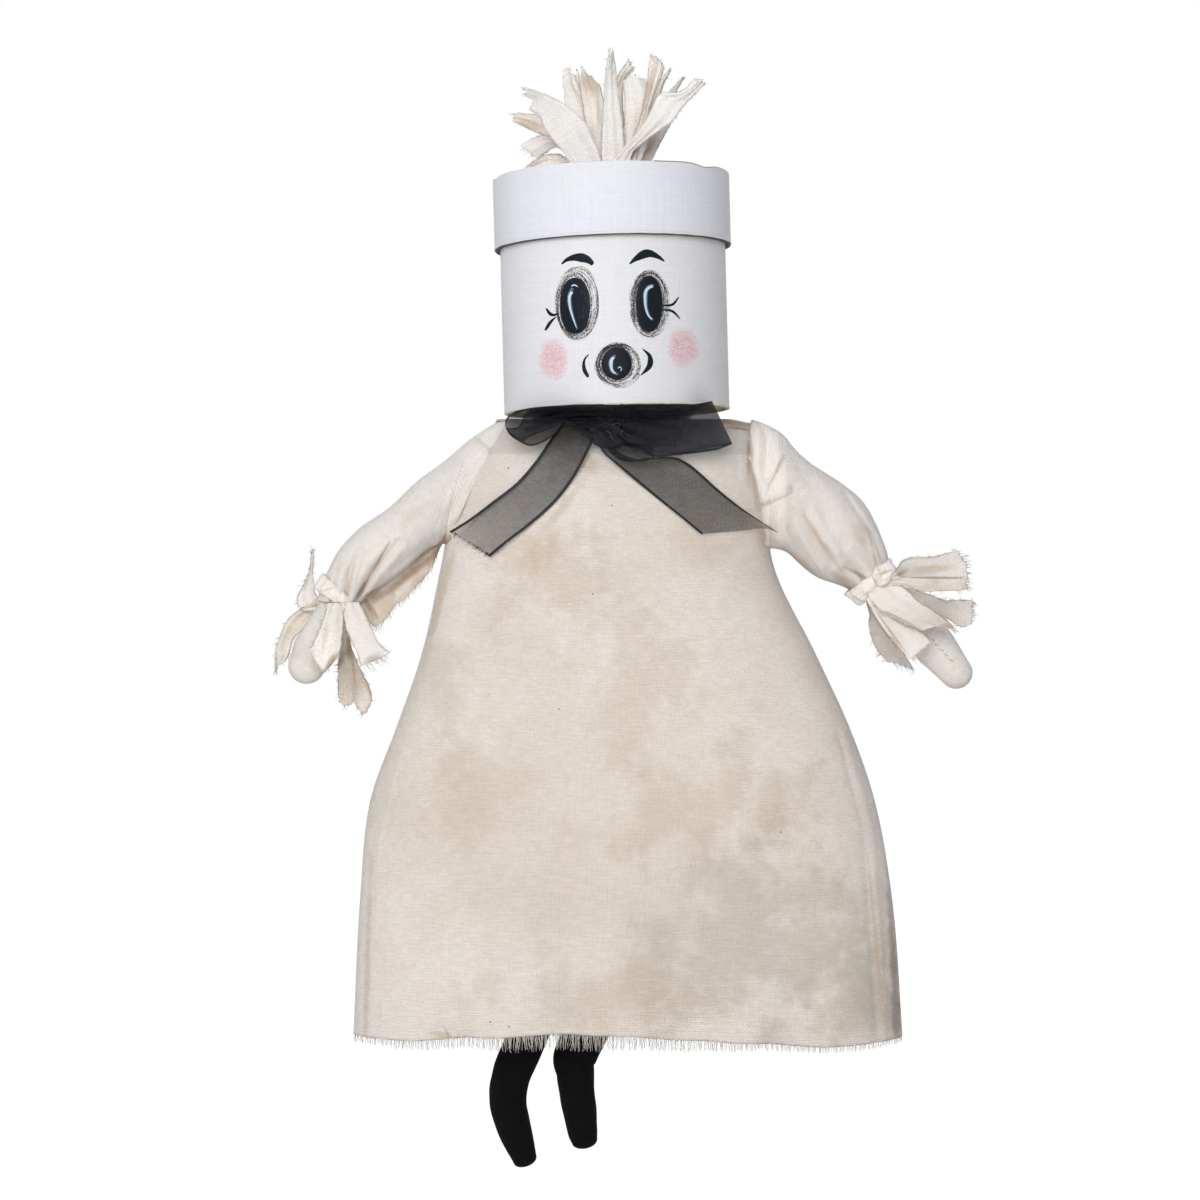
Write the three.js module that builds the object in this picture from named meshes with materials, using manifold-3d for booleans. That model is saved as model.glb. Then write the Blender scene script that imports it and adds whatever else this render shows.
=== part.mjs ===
// An art doll: a round gift box for a head, a bunch of torn muslin strips for hair, a stuffed body with arms
// and legs, an A-line muslin dress and a bow of sheer ribbon. Millimetres, +Z to the head, front at -Y.
// The doll lies or hangs against the plane y = 0, which its skirt's back touches.
import * as THREE from 'three';
import { mergeVertices } from 'three/addons/utils/BufferGeometryUtils.js';
import Module from 'manifold-3d';

const wasm = await Module();
wasm.setup();

// Clearances
const touching = 0.3; // between pieces that rest on or are cut by each other
const swinging = 0.5; // between an arm and the armhole that it swings in

// The dress's top, which the head stands above
const shoulderHeight = 96.5;
const neckShows = 4; // from the dress's shoulders to the box's underside

// Head: the gift box
const headFoot = new THREE.Vector3(2.7, -64, shoulderHeight + neckShows); // middle of the box's underside
const headTilt = THREE.MathUtils.degToRad(-1.5); // leans a little towards the doll's right
const boxRadius = 60;
const boxBoard = 2;
const boxHeight = 122;
const floorBoard = 2;
const floorLift = 0.3; // the floor sits this far up inside the wall
const lidRimHeight = 37;
const lidBoard = 2.2;
const lidPlay = 0.8; // between the box and the lid's rim
const roundFacets = 54;
const softFacets = 30;
const knotGather = 0.6; // a knotted end narrows to this share of its radius

// Neck
const neckRadius = 16;
const neckLength = 12;
const neckStemRadius = 6.5;
const neckStemPlay = 0.8;
const neckKnotRadius = 12;
const neckKnotHeight = 9;

// Hair
const hairHoleRadius = 12;
const hairBunchRise = 1.5; // the bunch ends this far above the lid
const hairKnotRadius = 16;
const hairKnotHeight = 9;
const stripThickness = 1;
const stripGap = 0.6; // between the roots of neighbouring strips, at the hair and at the wrists
const hairFanOut = 2; // how much the strips spread to the front and back, by their full length
const hairLength = 69;
const hairRootShare = 0.6; // a strip's width at its root, as a share of the bunch or of the strip
// One row per strip from the front to the back: how far its tip is to the right and up, and its width
const hairStrips = [
  [-46, 48, 16],
  [48, 48, 19],
  [-1, 69, 12],
  [24, 63, 14],
  [12, 51, 21],
  [-40, 8, 18],
  [-15, 60, 12],
  [-47, 21, 15],
  [-23, 59, 13],
  [-51, 35, 14],
  [11, 62, 10],
  [38, 53, 12],
  [31, 58, 12],
];

// Dress: [height, left edge, right edge] of its outline, from the hem up
const dressOutline = [
  [-235, -139.5, 157],
  [-163, -135.8, 151.3],
  [-108, -130, 141.5],
  [-69, -116, 128],
  [-30, -102.5, 110],
  [20, -91.5, 86.5],
  [60, -83.5, 84],
  [84, -73, 82],
  [97, -66, 76],
];
// Dress: [height, front, back] of its side view
const dressDepth = [
  [-235, -75, 0],
  [-150, -80, 0],
  [26, -82, 0],
  [60, -80, -22],
  [97, -76, -36],
];
const hemHeight = -235;
const shoulderCurve = 19; // the front and back close to the shoulder seam over this height
const cloth = 1.2;
const dressLevels = 16; // rows of facets from the hem to the shoulders
const dressRoundness = 2.6; // power of the section's curve: 2 is an ellipse
const backFlatness = 1.12; // above 1, the back is cut flat across its middle
const hemFolds = 5;
const hemFoldDepth = 2.2;
const hemFoldRise = 130;

// Arms: both swing about a line through the shoulder, front to back
const shoulderLeft = new THREE.Vector3(-76.2, -52, 60.7);
const shoulderRight = new THREE.Vector3(83.8, -52, 60.7);
const armDropLeft = 38.8; // degrees below level
const armDropRight = 45.6;
const armLowestLeft = 5; // degrees that it can swing down from there
const armLowestRight = 8;
const shoulderRadius = 24;
const shoulderDepth = 18;
// Sleeve and hand: [distance from the shoulder, rise off the line to the wrist, half width, half depth]
const armLeft = {
  sleeve: [[0, 0, shoulderRadius, shoulderDepth], [25, 4, 16.8, 15], [53, 2.5, 16.2, 13], [74, 1.4, 13.4, 11],
    [92, -1, 9.8, 8.5]],
  hand: [[105, -6, 8, 7], [120, -15, 9.7, 7.5], [131, -21.5, 8.2, 6.5]],
};
const armRight = {
  sleeve: [[0, 0, shoulderRadius, shoulderDepth], [22, 5, 23, 18], [41, 7, 22.6, 17], [57, 6.4, 19, 14],
    [76, 4.3, 10.8, 8.5]],
  hand: [[95, 4.6, 9, 7.5], [118, 5, 10.6, 8], [140, 4.5, 9, 7]],
};
const tieBefore = 0.22; // the tie covers this share of the sleeve's last stretch
const tieBeyond = 0.16; // and this share of the hand's first one
const tieThickness = 1.8;
// Torn strips at the wrists: three points [distance from the shoulder, rise], widths at the tie and the tip,
// and the layer, which is in front of the hand where it is positive and behind it where it is negative
const cuffLeft = [
  { path: [[91, 3], [106, 14], [90, 27]], widths: [8, 3], layer: -1 },
  { path: [[91, 0], [119, 2], [141, -11]], widths: [8, 8], layer: -2 },
  { path: [[91, -3], [110, -14], [128, -29]], widths: [10, 12], layer: 1 },
  { path: [[91, -4], [104, -28], [121, -52]], widths: [10, 16], layer: -3 },
  { path: [[91, -4], [99, -22], [96, -41]], widths: [10, 14], layer: 2 },
];
const cuffRight = [
  { path: [[76, 8], [90, 27], [104, 44]], widths: [8, 15], layer: -1 },
  { path: [[76, 6], [96, 22], [114, 37]], widths: [7, 8], layer: 3 },
  { path: [[76, 5], [101, 16], [123, 29]], widths: [9, 13], layer: -2 },
  { path: [[76, 4], [98, 5.5], [117, 11]], widths: [11, 16], layer: 2 },
  { path: [[76, 1], [97, -3], [119, -5]], widths: [11, 15], layer: 1 },
  { path: [[76, 0], [95, -14], [117, -18]], widths: [9, 14], layer: -3 },
];
const cuffFanOut = 5; // how far a strip's tip stands out from its layer
// The left sleeve's unsewn lower edge: [distance, rise] along its free edge
const flapEdge = [[41, -20], [50, -20.7], [62, -24], [76, -24.6], [83, -26]];
const flapTop = -6;
const flapBehind = 5;

// Torso
const torsoBottom = -146;
const torsoFlat = 0.8; // share of the hips' width that is flat underneath, where the legs are sewn on
const torsoFlatRise = 0.14; // the underside rounds off over this share of its height
const torsoHips = 42; // half width at its lower end
const torsoHipsDepth = 0.62; // share of the dress's depth that it fills there
const torsoSidePlay = 0.7; // between its sides and the armholes
const torsoPlay = 2.4; // between the torso and the dress
const torsoLeft = shoulderLeft.x + shoulderRadius + swinging + torsoSidePlay;
const torsoRight = shoulderRight.x - shoulderRadius - swinging - torsoSidePlay;

// Legs: [right, up, half width, half depth] of their middle lines, from the hip to the foot
const legPlane = -37;
const hipRadius = 10;
const hipDepth = 9.5;
const hipHeight = torsoBottom - touching - hipRadius;
const legLeft = [[-16, hipHeight, hipRadius, hipDepth], [-31, -203, 10.5, 9.5], [-46, -243, 10.8, 9.5],
  [-55.5, -262, 10.5, 9.5], [-56, -276, 10, 9], [-51.5, -290, 8.4, 8], [-46.8, -302, 5.6, 6]];
const legRight = [[24, hipHeight, hipRadius, hipDepth], [4, -203, 10.5, 9.5], [-17.5, -243, 10.8, 9.5],
  [-20, -261, 9.9, 9.5], [-18.6, -276, 9.5, 9], [-16.4, -289, 7.4, 7.5], [-14.8, -294, 6, 6]];

// Ribbon
const ribbon = 0.8;
const bandPlay = 0.6; // between the neck and the band round it
const bandInner = neckRadius + bandPlay;
const bandThickness = 1.4;
const bandOutside = bandInner + bandThickness;
const bandBottom = -14; // below the box's underside
const bandTop = -1.5;
const knotStandOff = 2.5; // the knot's middle is this far outside the band
const knotDrop = 11.5; // and this far below the box's underside
const knotCentre = new THREE.Vector3(-8, headFoot.y - bandOutside - knotStandOff, headFoot.z - knotDrop);
const knotSize = new THREE.Vector3(6, 5, 9.5);
// Loops: from a root to a tip, both from the knot's middle, with their half widths there
const loops = {
  left: { root: [-1.8, -0.5, 0], tip: [-50, -8.5, -2], rootHalf: 5.5, tipHalf: 8.5, bulge: 5, lean: 5 },
  right: { root: [-0.2, 0.5, 0], tip: [66, -29.5, 1.8], rootHalf: 6, tipHalf: 11.2, bulge: 4, lean: -5 },
};
const loopOpening = 0.65; // how wide a loop stays open at its root, in radians
// Tails: [right, up] along both edges, from the knot's middle
const tails = {
  left: {
    upper: [[-10, -4], [-19.5, -10], [-32, -16], [-48.8, -32.4], [-65.7, -45.7], [-77.8, -52.7]],
    lower: [[-4.5, -9.5], [-9.5, -19], [-15.8, -28.5], [-29.5, -44.5], [-44, -57.5], [-56, -66.5]],
  },
  right: {
    upper: [[6.5, -8.5], [20, -10], [36, -15], [50.3, -22], [74.5, -38.5], [96, -53.9]],
    lower: [[1.5, -11.5], [9, -19], [18, -25.5], [32, -36.5], [44, -46], [55.1, -54.4]],
  },
};
const tailOnDress = 1.2; // the tails lie this far off the dress
const tailAtKnot = 7; // and stand this much further off it at the knot
const tailWrap = 0.72; // past this share of the dress's half width they run straight on

// Materials
const material = (color, roughness) => new THREE.MeshStandardMaterial({ color, roughness, metalness: 0 });
const muslin = material(0xe8ddd0, 0.95);
const whitePaper = material(0xe6e7ec, 0.75);
const greyBoard = material(0xd8cdb8, 0.9);
const blackCloth = material(0x101012, 0.95);
const organza = material(0x2a2828, 0.5);

// A solid for joining and cutting, from a closed geometry
function solid(geometry) {
  const bare = geometry.clone();
  bare.deleteAttribute('normal');
  bare.deleteAttribute('uv');
  const merged = mergeVertices(bare, 1e-4);
  return new wasm.Manifold(new wasm.Mesh({
    numProp: 3,
    vertProperties: new Float32Array(merged.attributes.position.array),
    triVerts: new Uint32Array(merged.index.array),
  }));
}

function geometryOf(manifold) {
  const mesh = manifold.getMesh();
  const geometry = new THREE.BufferGeometry();
  geometry.setAttribute('position', new THREE.BufferAttribute(new Float32Array(mesh.vertProperties), 3));
  geometry.setIndex(new THREE.BufferAttribute(new Uint32Array(mesh.triVerts), 1));
  geometry.computeVertexNormals();
  return geometry;
}

const subtract = (geometry, ...cutters) =>
  geometryOf(cutters.reduce((rest, cutter) => rest.subtract(solid(cutter)), solid(geometry)));

// A closed geometry from points and triangles, turned to face outwards
function closed(points, triangles) {
  const corner = (index) => new THREE.Vector3().fromArray(points, 3 * index);
  let volume = 0;
  for (let k = 0; k < triangles.length; k += 3) {
    volume += corner(triangles[k]).dot(corner(triangles[k + 1]).cross(corner(triangles[k + 2])));
  }
  const geometry = new THREE.BufferGeometry();
  geometry.setAttribute('position', new THREE.Float32BufferAttribute(points, 3));
  geometry.setIndex(volume < 0 ? [...triangles].reverse() : triangles);
  geometry.computeVertexNormals();
  return geometry;
}

// The body between two sheets, each a function of u across and v along that gives a point
function between(across, along, outer, inner) {
  const points = [];
  for (const sheet of [outer, inner]) {
    for (let j = 0; j <= along; j++) {
      for (let i = 0; i <= across; i++) points.push(...sheet(i / across, j / along));
    }
  }
  const at = (sheet, i, j) => (sheet * (along + 1) + j) * (across + 1) + i;
  const triangles = [];
  const quad = (a, b, c, d) => triangles.push(a, b, c, a, c, d);
  for (let j = 0; j < along; j++) {
    for (let i = 0; i < across; i++) {
      quad(at(0, i, j), at(0, i + 1, j), at(0, i + 1, j + 1), at(0, i, j + 1));
      quad(at(1, i, j + 1), at(1, i + 1, j + 1), at(1, i + 1, j), at(1, i, j));
    }
    quad(at(0, 0, j + 1), at(1, 0, j + 1), at(1, 0, j), at(0, 0, j));
    quad(at(0, across, j), at(1, across, j), at(1, across, j + 1), at(0, across, j + 1));
  }
  for (let i = 0; i < across; i++) {
    quad(at(0, i, 0), at(1, i, 0), at(1, i + 1, 0), at(0, i + 1, 0));
    quad(at(0, i + 1, along), at(1, i + 1, along), at(1, i, along), at(0, i, along));
  }
  return closed(points, triangles);
}

// The body inside rings of equal size, with a point at each end
function loft(rings, first, last) {
  const count = rings[0].length;
  const points = [first, ...rings.flat(), last].flat();
  const at = (ring, k) => 1 + ring * count + (k % count);
  const end = 1 + rings.length * count;
  const triangles = [];
  for (let k = 0; k < count; k++) {
    triangles.push(0, at(0, k + 1), at(0, k));
    triangles.push(end, at(rings.length - 1, k), at(rings.length - 1, k + 1));
    for (let ring = 0; ring < rings.length - 1; ring++) {
      triangles.push(at(ring, k), at(ring, k + 1), at(ring + 1, k + 1));
      triangles.push(at(ring, k), at(ring + 1, k + 1), at(ring + 1, k));
    }
  }
  return closed(points, triangles);
}

// A smooth curve through rows whose first number is where each row stands
function smooth(rows) {
  const width = rows[0].length - 1;
  return new THREE.CubicInterpolant(rows.map((row) => row[0]), rows.flatMap((row) => row.slice(1)), width,
    new Float32Array(width));
}

const power = (value, exponent) => Math.sign(value) * Math.abs(value) ** exponent;

// Limbs lie in the plane of x and z. Stations are [x, z, half width, half depth] along the middle line.
// "grow" makes it fatter or thinner, and an end is round or, where it is cut, flat.
function limb(stations, { from = 0, to = stations.length - 1, grow = 0, rings = 14, sides = 18, plane = 0,
  roundness = 2.3, cut = false, open = false, squareAt = -1 }) {
  const line = smooth(stations.map((station, index) => [index, ...station]));
  const capRings = 4;
  const section = (x, z, across, wide, deep) => {
    const ring = [];
    for (let k = 0; k < sides; k++) {
      const angle = (2 * Math.PI * k) / sides;
      const out = wide * power(Math.cos(angle), 2 / roundness);
      const back = deep * power(Math.sin(angle), 2 / roundness);
      ring.push([x + across[0] * out, plane + back, z + across[1] * out]);
    }
    return ring;
  };
  const frameAt = (where) => {
    const step = 0.01;
    const [x0, z0] = [...line.evaluate(Math.max(where - step, 0))];
    const [x1, z1] = [...line.evaluate(Math.min(where + step, stations.length - 1))];
    const length = Math.hypot(x1 - x0, z1 - z0);
    const ahead = where === squareAt ? [1, 0] : [(x1 - x0) / length, (z1 - z0) / length];
    const [x, z, wide, deep] = [...line.evaluate(where)];
    return { x, z, wide: wide + grow, deep: deep + grow, ahead, across: [-ahead[1], ahead[0]] };
  };
  const cap = (end, way) => {
    const found = [];
    for (let k = 1; k < capRings; k++) {
      const angle = (Math.PI / 2) * (k / capRings);
      const out = way * end.wide * Math.sin(angle);
      found.push(section(end.x + end.ahead[0] * out, end.z + end.ahead[1] * out, end.across,
        end.wide * Math.cos(angle), end.deep * Math.cos(angle) ** (2 / roundness)));
    }
    const reach = way * end.wide;
    return { rings: found, tip: [end.x + end.ahead[0] * reach, plane, end.z + end.ahead[1] * reach] };
  };
  const body = [];
  for (let k = 0; k <= rings; k++) {
    const at = frameAt(from + ((to - from) * k) / rings);
    body.push(section(at.x, at.z, at.across, at.wide, at.deep));
  }
  const start = frameAt(from);
  const end = frameAt(to);
  const first = cap(start, -1);
  const last = cap(end, 1);
  const before = cut ? [] : first.rings.reverse();
  const after = open ? [] : last.rings;
  return loft([...before, ...body, ...after], cut ? [start.x, plane, start.z] : first.tip,
    open ? [end.x, plane, end.z] : last.tip);
}

// A solid turned about z, from a profile of [radius, height]
const turned = (profile, facets = roundFacets) =>
  new THREE.LatheGeometry(profile.map(([x, y]) => new THREE.Vector2(x, y)), facets).rotateX(Math.PI / 2);

const ring = (inside, outside, bottom, top, facets) =>
  turned([[inside, bottom], [outside, bottom], [outside, top], [inside, top], [inside, bottom]], facets);

const rod = (radius, bottom, top, facets) =>
  turned([[0, bottom], [radius, bottom], [radius, top], [0, top]], facets);

const doll = new THREE.Group();

function add(parent, name, geometry, look) {
  const mesh = new THREE.Mesh(geometry, look);
  mesh.name = name;
  parent.add(mesh);
}

// The head's own frame: its origin is the middle of the box's underside, and z is the box's axis
const head = new THREE.Group();
head.position.copy(headFoot);
head.rotation.y = headTilt;
head.updateMatrix();
doll.add(head);
const fromHead = (geometry) => geometry.clone().applyMatrix4(head.matrix);

// Gift box
const boxInside = boxRadius - boxBoard;
const rimInside = boxRadius + lidPlay;
const lidTopBottom = boxHeight + touching;
const lidTopTop = lidTopBottom + lidBoard;
add(head, 'box_wall', ring(boxInside, boxRadius, 0, boxHeight), whitePaper);
const floorTop = floorLift + floorBoard;
const floorHole = neckStemRadius + neckStemPlay;
add(head, 'box_floor', ring(floorHole, boxInside - touching, floorLift, floorTop), greyBoard);
add(head, 'lid_rim', ring(rimInside, rimInside + lidBoard, lidTopTop - lidRimHeight, lidTopTop), whitePaper);
add(head, 'lid_top', ring(hairHoleRadius, rimInside - touching, lidTopBottom, lidTopTop), whitePaper);

// Neck: a stuffed stub whose gathered end comes up through the floor and is knotted inside
const neckTop = -touching;
add(head, 'neck', turned([[0, neckTop - neckLength], [neckRadius, neckTop - neckLength], [neckRadius, neckTop],
  [neckStemRadius, neckTop], [neckStemRadius, floorTop], [0, floorTop]], softFacets), muslin);
const knotFoot = floorTop + touching;
const knotWaist = knotFoot + neckKnotHeight / 2;
const knotTop = knotFoot + neckKnotHeight;
add(head, 'neck_knot', turned([[0, knotFoot], [neckKnotRadius, knotFoot], [neckKnotRadius, knotWaist],
  [neckKnotRadius * knotGather, knotTop], [0, knotTop]], softFacets), muslin);

// Hair: a bunch knotted under the lid, and the strips that stand on it
const hairFoot = lidTopTop + hairBunchRise;
const hairBunchRadius = hairHoleRadius - touching;
const hairKnotTop = lidTopBottom - touching;
const hairKnotFoot = hairKnotTop - hairKnotHeight;
const hairKnotWaist = hairKnotFoot + hairKnotHeight / 2;
add(head, 'hair_knot', turned([[0, hairKnotFoot], [hairKnotRadius * knotGather, hairKnotFoot],
  [hairKnotRadius, hairKnotWaist], [hairKnotRadius, hairKnotTop], [hairBunchRadius, hairKnotTop],
  [hairBunchRadius, hairFoot], [0, hairFoot]], softFacets), muslin);

function hairStrip(order, [right, up, width]) {
  const layer = (order - (hairStrips.length - 1) / 2) * (stripThickness + stripGap);
  const rootHalf = hairRootShare * Math.min(width / 2, Math.sqrt(hairBunchRadius ** 2 - layer ** 2));
  const path = new THREE.QuadraticBezierCurve(new THREE.Vector2(right * 0.06, touching),
    new THREE.Vector2(right * 0.35, up * 0.6 + 6), new THREE.Vector2(right, up));
  const face = (offset) => (u, v) => {
    const middle = path.getPoint(v);
    const ahead = path.getTangent(v);
    const taper = v > 0.75 ? 1.3 - 0.4 * v : 1;
    const side = (2 * u - 1) * taper * THREE.MathUtils.lerp(rootHalf, width / 2, Math.min(1, 2.5 * v));
    const x = middle.x + ahead.y * side;
    const z = Math.max(middle.y - ahead.x * side, touching);
    const reach = Math.hypot(x, z) / hairLength;
    return [x, layer * (1 + hairFanOut * reach) + offset, hairFoot + z];
  };
  return between(2, 7, face(-stripThickness / 2), face(stripThickness / 2));
}
hairStrips.forEach((strip, order) => {
  add(head, 'hair_strip_' + String(order + 1).padStart(2, '0'), hairStrip(order, strip), muslin);
});

// Dress
const outline = smooth(dressOutline);
const depth = smooth(dressDepth);
const shoulderStart = shoulderHeight - shoulderCurve;

// The dress's section at a height, drawn in by "inset"
function section(z, inset = 0) {
  const [left, right] = [...outline.evaluate(z)];
  const [front, back] = [...depth.evaluate(z)];
  const rise = THREE.MathUtils.clamp((z + inset - shoulderStart) / shoulderCurve, 0, 1);
  const closing = Math.sqrt(Math.max(1 - rise * rise, 0.0008));
  const seam = (front + Math.min(back, 0)) / 2;
  const deep = ((Math.min(back, 0) - front) / 2) * closing;
  const wide = (right - left) / 2 - inset;
  return { middle: (left + right) / 2, wide, seam, deep: Math.max(deep - inset, 0.4) };
}

// How far the cloth stands off the seam at u from the middle, -1 to 1, as a share of the depth
const swell = (u) => (1 - Math.min(Math.abs(u), 1) ** dressRoundness) ** (1 / dressRoundness);
const backSwell = (u) => Math.min(1, backFlatness * (1 - Math.min(Math.abs(u), 1) ** 4) ** 0.25);

// Heights run evenly up to the shoulder's curve, and then by its angle
function dressLevel(v, inset = 0) {
  const straight = 0.68;
  if (v < straight) return THREE.MathUtils.lerp(hemHeight, shoulderStart, v / straight);
  return shoulderStart + (shoulderCurve - inset) * Math.sin(((v - straight) / (1 - straight)) * (Math.PI / 2));
}

function dressPanel(isFront, across, along) {
  const sheet = (inset) => (u, v) => {
    const z = dressLevel(v, inset);
    const at = section(z, inset);
    const share = -Math.cos(Math.PI * u);
    const fading = Math.max(0, 1 - (z - hemHeight) / hemFoldRise);
    const fold = hemFoldDepth * fading * Math.cos(hemFolds * Math.PI * share);
    const edge = Math.min(1, 6 * Math.min(u, 1 - u));
    const deep = isFront ? at.deep * swell(share) + fold * edge : at.deep * backSwell(share);
    const side = isFront ? -1 : 1;
    return [at.middle + at.wide * share, at.seam + side * Math.max(deep, touching / 2), z];
  };
  return between(across, along, sheet(0), sheet(cloth));
}

const armholeLength = 200;
const armholes = [shoulderLeft, shoulderRight].map((shoulder) =>
  new THREE.CylinderGeometry(shoulderRadius + swinging, shoulderRadius + swinging, armholeLength, roundFacets)
    .translate(shoulder.x, shoulder.y, shoulder.z));
const neckReach = 40; // the tools that clear the neck run this far down
const neckline = fromHead(rod(bandOutside + swinging, -neckReach, boxHeight, softFacets));

// Arms, each in a frame that starts at the shoulder: x runs to the wrist, y to the back and z upwards
const arms = [
  { name: 'left', side: -1, shoulder: shoulderLeft, drop: armDropLeft, lowest: armLowestLeft,
    shape: armLeft, cuff: cuffLeft },
  { name: 'right', side: 1, shoulder: shoulderRight, drop: armDropRight, lowest: armLowestRight,
    shape: armRight, cuff: cuffRight },
];
const bareArm = -cloth - touching;

function armFrame({ side, shoulder, drop }, swing = 0) {
  const turn = THREE.MathUtils.degToRad(drop + swing);
  const ahead = new THREE.Vector3(side * Math.cos(turn), 0, -Math.sin(turn));
  const up = new THREE.Vector3(side * Math.sin(turn), 0, Math.cos(turn));
  return new THREE.Matrix4().makeBasis(ahead, new THREE.Vector3(0, 1, 0), up).setPosition(shoulder);
}

// The left arm's frame is a mirrored one, so what is placed by it is made to face outwards again
function placed(geometry, matrix) {
  const moved = geometry.clone().applyMatrix4(matrix);
  return closed([...moved.attributes.position.array], [...moved.index.array]);
}

function cuffStrip({ path, widths, layer }, tieDepth) {
  const curve = new THREE.QuadraticBezierCurve(...path.map(([x, z]) => new THREE.Vector2(x, z)));
  const behind = layer < 0 ? 1 : -1;
  const layers = (Math.abs(layer) - 1) * (stripThickness + stripGap);
  const root = behind * (tieDepth + touching + stripThickness / 2 + layers);
  const face = (offset) => (u, v) => {
    const middle = curve.getPoint(v);
    const ahead = curve.getTangent(v);
    const side = (u - 0.5) * THREE.MathUtils.lerp(widths[0], widths[1], v);
    const out = behind * cuffFanOut * v * v;
    return [middle.x - ahead.y * side, root + out + offset, middle.y + ahead.x * side];
  };
  return between(2, 6, face(-stripThickness / 2), face(stripThickness / 2));
}

function sleeveFlap() {
  const free = new THREE.SplineCurve(flapEdge.map(([x, z]) => new THREE.Vector2(x, z)));
  const face = (offset) => (u, v) => {
    const low = free.getPoint(v);
    return [low.x, flapBehind + offset, THREE.MathUtils.lerp(low.y, flapTop, u)];
  };
  return between(2, 10, face(-stripThickness / 2), face(stripThickness / 2));
}

for (const arm of arms) {
  const stations = [...arm.shape.sleeve, ...arm.shape.hand];
  const wrist = arm.shape.sleeve.length - 1;
  const shape = { squareAt: 0, roundness: 2.6, sides: 16 };
  const whole = limb(stations, { ...shape, grow: bareArm, rings: 18 });
  const hollow = limb(stations, { ...shape, grow: bareArm + touching, rings: 18 });
  const toWrist = { ...shape, to: wrist, rings: 12, open: true };
  const outside = limb(stations, toWrist);
  const tied = { ...shape, cut: true, open: true, rings: 3 };
  const tieCore = limb(stations, { ...tied, from: wrist - 2 * tieBefore, to: wrist + 2 * tieBeyond,
    grow: touching });
  const tieOutside = limb(stations, { ...tied, from: wrist - tieBefore, to: wrist + tieBeyond,
    grow: touching + tieThickness });
  const frame = armFrame(arm);
  const tieDepth = stations[wrist][3] + touching + tieThickness;
  arm.swept = [0, arm.lowest / 2, arm.lowest].map((swing) =>
    placed(limb(stations, { ...toWrist, grow: swinging }), armFrame(arm, swing)));
  add(doll, 'arm_' + arm.name, placed(whole, frame), muslin);
  add(doll, 'sleeve_' + arm.name, placed(subtract(outside, hollow), frame), muslin);
  add(doll, 'wrist_tie_' + arm.name, placed(subtract(tieOutside, tieCore), frame), muslin);
  arm.cuff.forEach((strip, order) => {
    add(doll, 'cuff_' + arm.name + '_' + (order + 1), placed(cuffStrip(strip, tieDepth), frame), muslin);
  });
  if (arm.side < 0) {
    const seat = limb(stations, { ...toWrist, grow: touching });
    add(doll, 'sleeve_flap_left', placed(subtract(sleeveFlap(), seat), frame), muslin);
  }
}

const sweeps = arms.flatMap((arm) => arm.swept);
add(doll, 'dress_front', subtract(dressPanel(true, 26, dressLevels), ...armholes, neckline, ...sweeps), muslin);
add(doll, 'dress_back', subtract(dressPanel(false, 20, dressLevels), ...armholes, neckline, ...sweeps), muslin);

// Torso: fills the dress at the chest and narrows to the hips
function torso() {
  const inset = cloth + torsoPlay;
  const levels = 16;
  const sides = 24;
  const rings = [];
  const top = shoulderHeight - inset;
  const middle = (torsoLeft + torsoRight) / 2;
  for (let k = 0; k < levels; k++) {
    const z = THREE.MathUtils.lerp(torsoBottom, top, 0.5 - 0.5 * Math.cos((0.99 * Math.PI * k) / (levels - 1)));
    const at = section(z, inset);
    const rise = (z - torsoBottom) / (top - torsoBottom);
    const corner = 1 - Math.min(1, rise / torsoFlatRise);
    const round = THREE.MathUtils.lerp(torsoFlat, 1, Math.sqrt(1 - corner ** 2));
    const wide = THREE.MathUtils.lerp(torsoHips, (torsoRight - torsoLeft) / 2, Math.min(1, 1.4 * rise)) * round;
    const filled = THREE.MathUtils.lerp(torsoHipsDepth, 1, THREE.MathUtils.smoothstep(rise, 0.35, 0.8));
    const row = [];
    for (let side = 0; side < sides; side++) {
      const angle = (2 * Math.PI * side) / sides;
      const out = at.deep * filled * round * power(Math.sin(angle), 0.8);
      row.push([middle + wide * Math.cos(angle), at.seam + out, z]);
    }
    rings.push(row);
  }
  const low = section(torsoBottom, inset);
  const high = section(top, inset);
  const neckSeat = fromHead(rod(neckRadius + swinging, neckTop - neckLength - touching, boxHeight, softFacets));
  return subtract(loft(rings, [middle, low.seam, torsoBottom], [middle, high.seam, top]), neckSeat, neckline);
}
add(doll, 'torso_stuffed', torso(), muslin);

// Legs
add(doll, 'leg_left', limb(legLeft, { plane: legPlane, rings: 12, sides: 14 }), blackCloth);
add(doll, 'leg_right', limb(legRight, { plane: legPlane, rings: 12, sides: 14 }), blackCloth);

// Bow
add(head, 'ribbon_band', ring(bandInner, bandOutside, bandBottom, bandTop, softFacets), organza);
const knotBall = new THREE.SphereGeometry(1, 16, 10).scale(knotSize.x, knotSize.y, knotSize.z)
  .translate(knotCentre.x, knotCentre.y, knotCentre.z);
const bandSeat = fromHead(rod(bandOutside + touching, -neckReach, boxHeight, softFacets));
add(doll, 'ribbon_knot', subtract(knotBall, bandSeat), organza);

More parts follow.
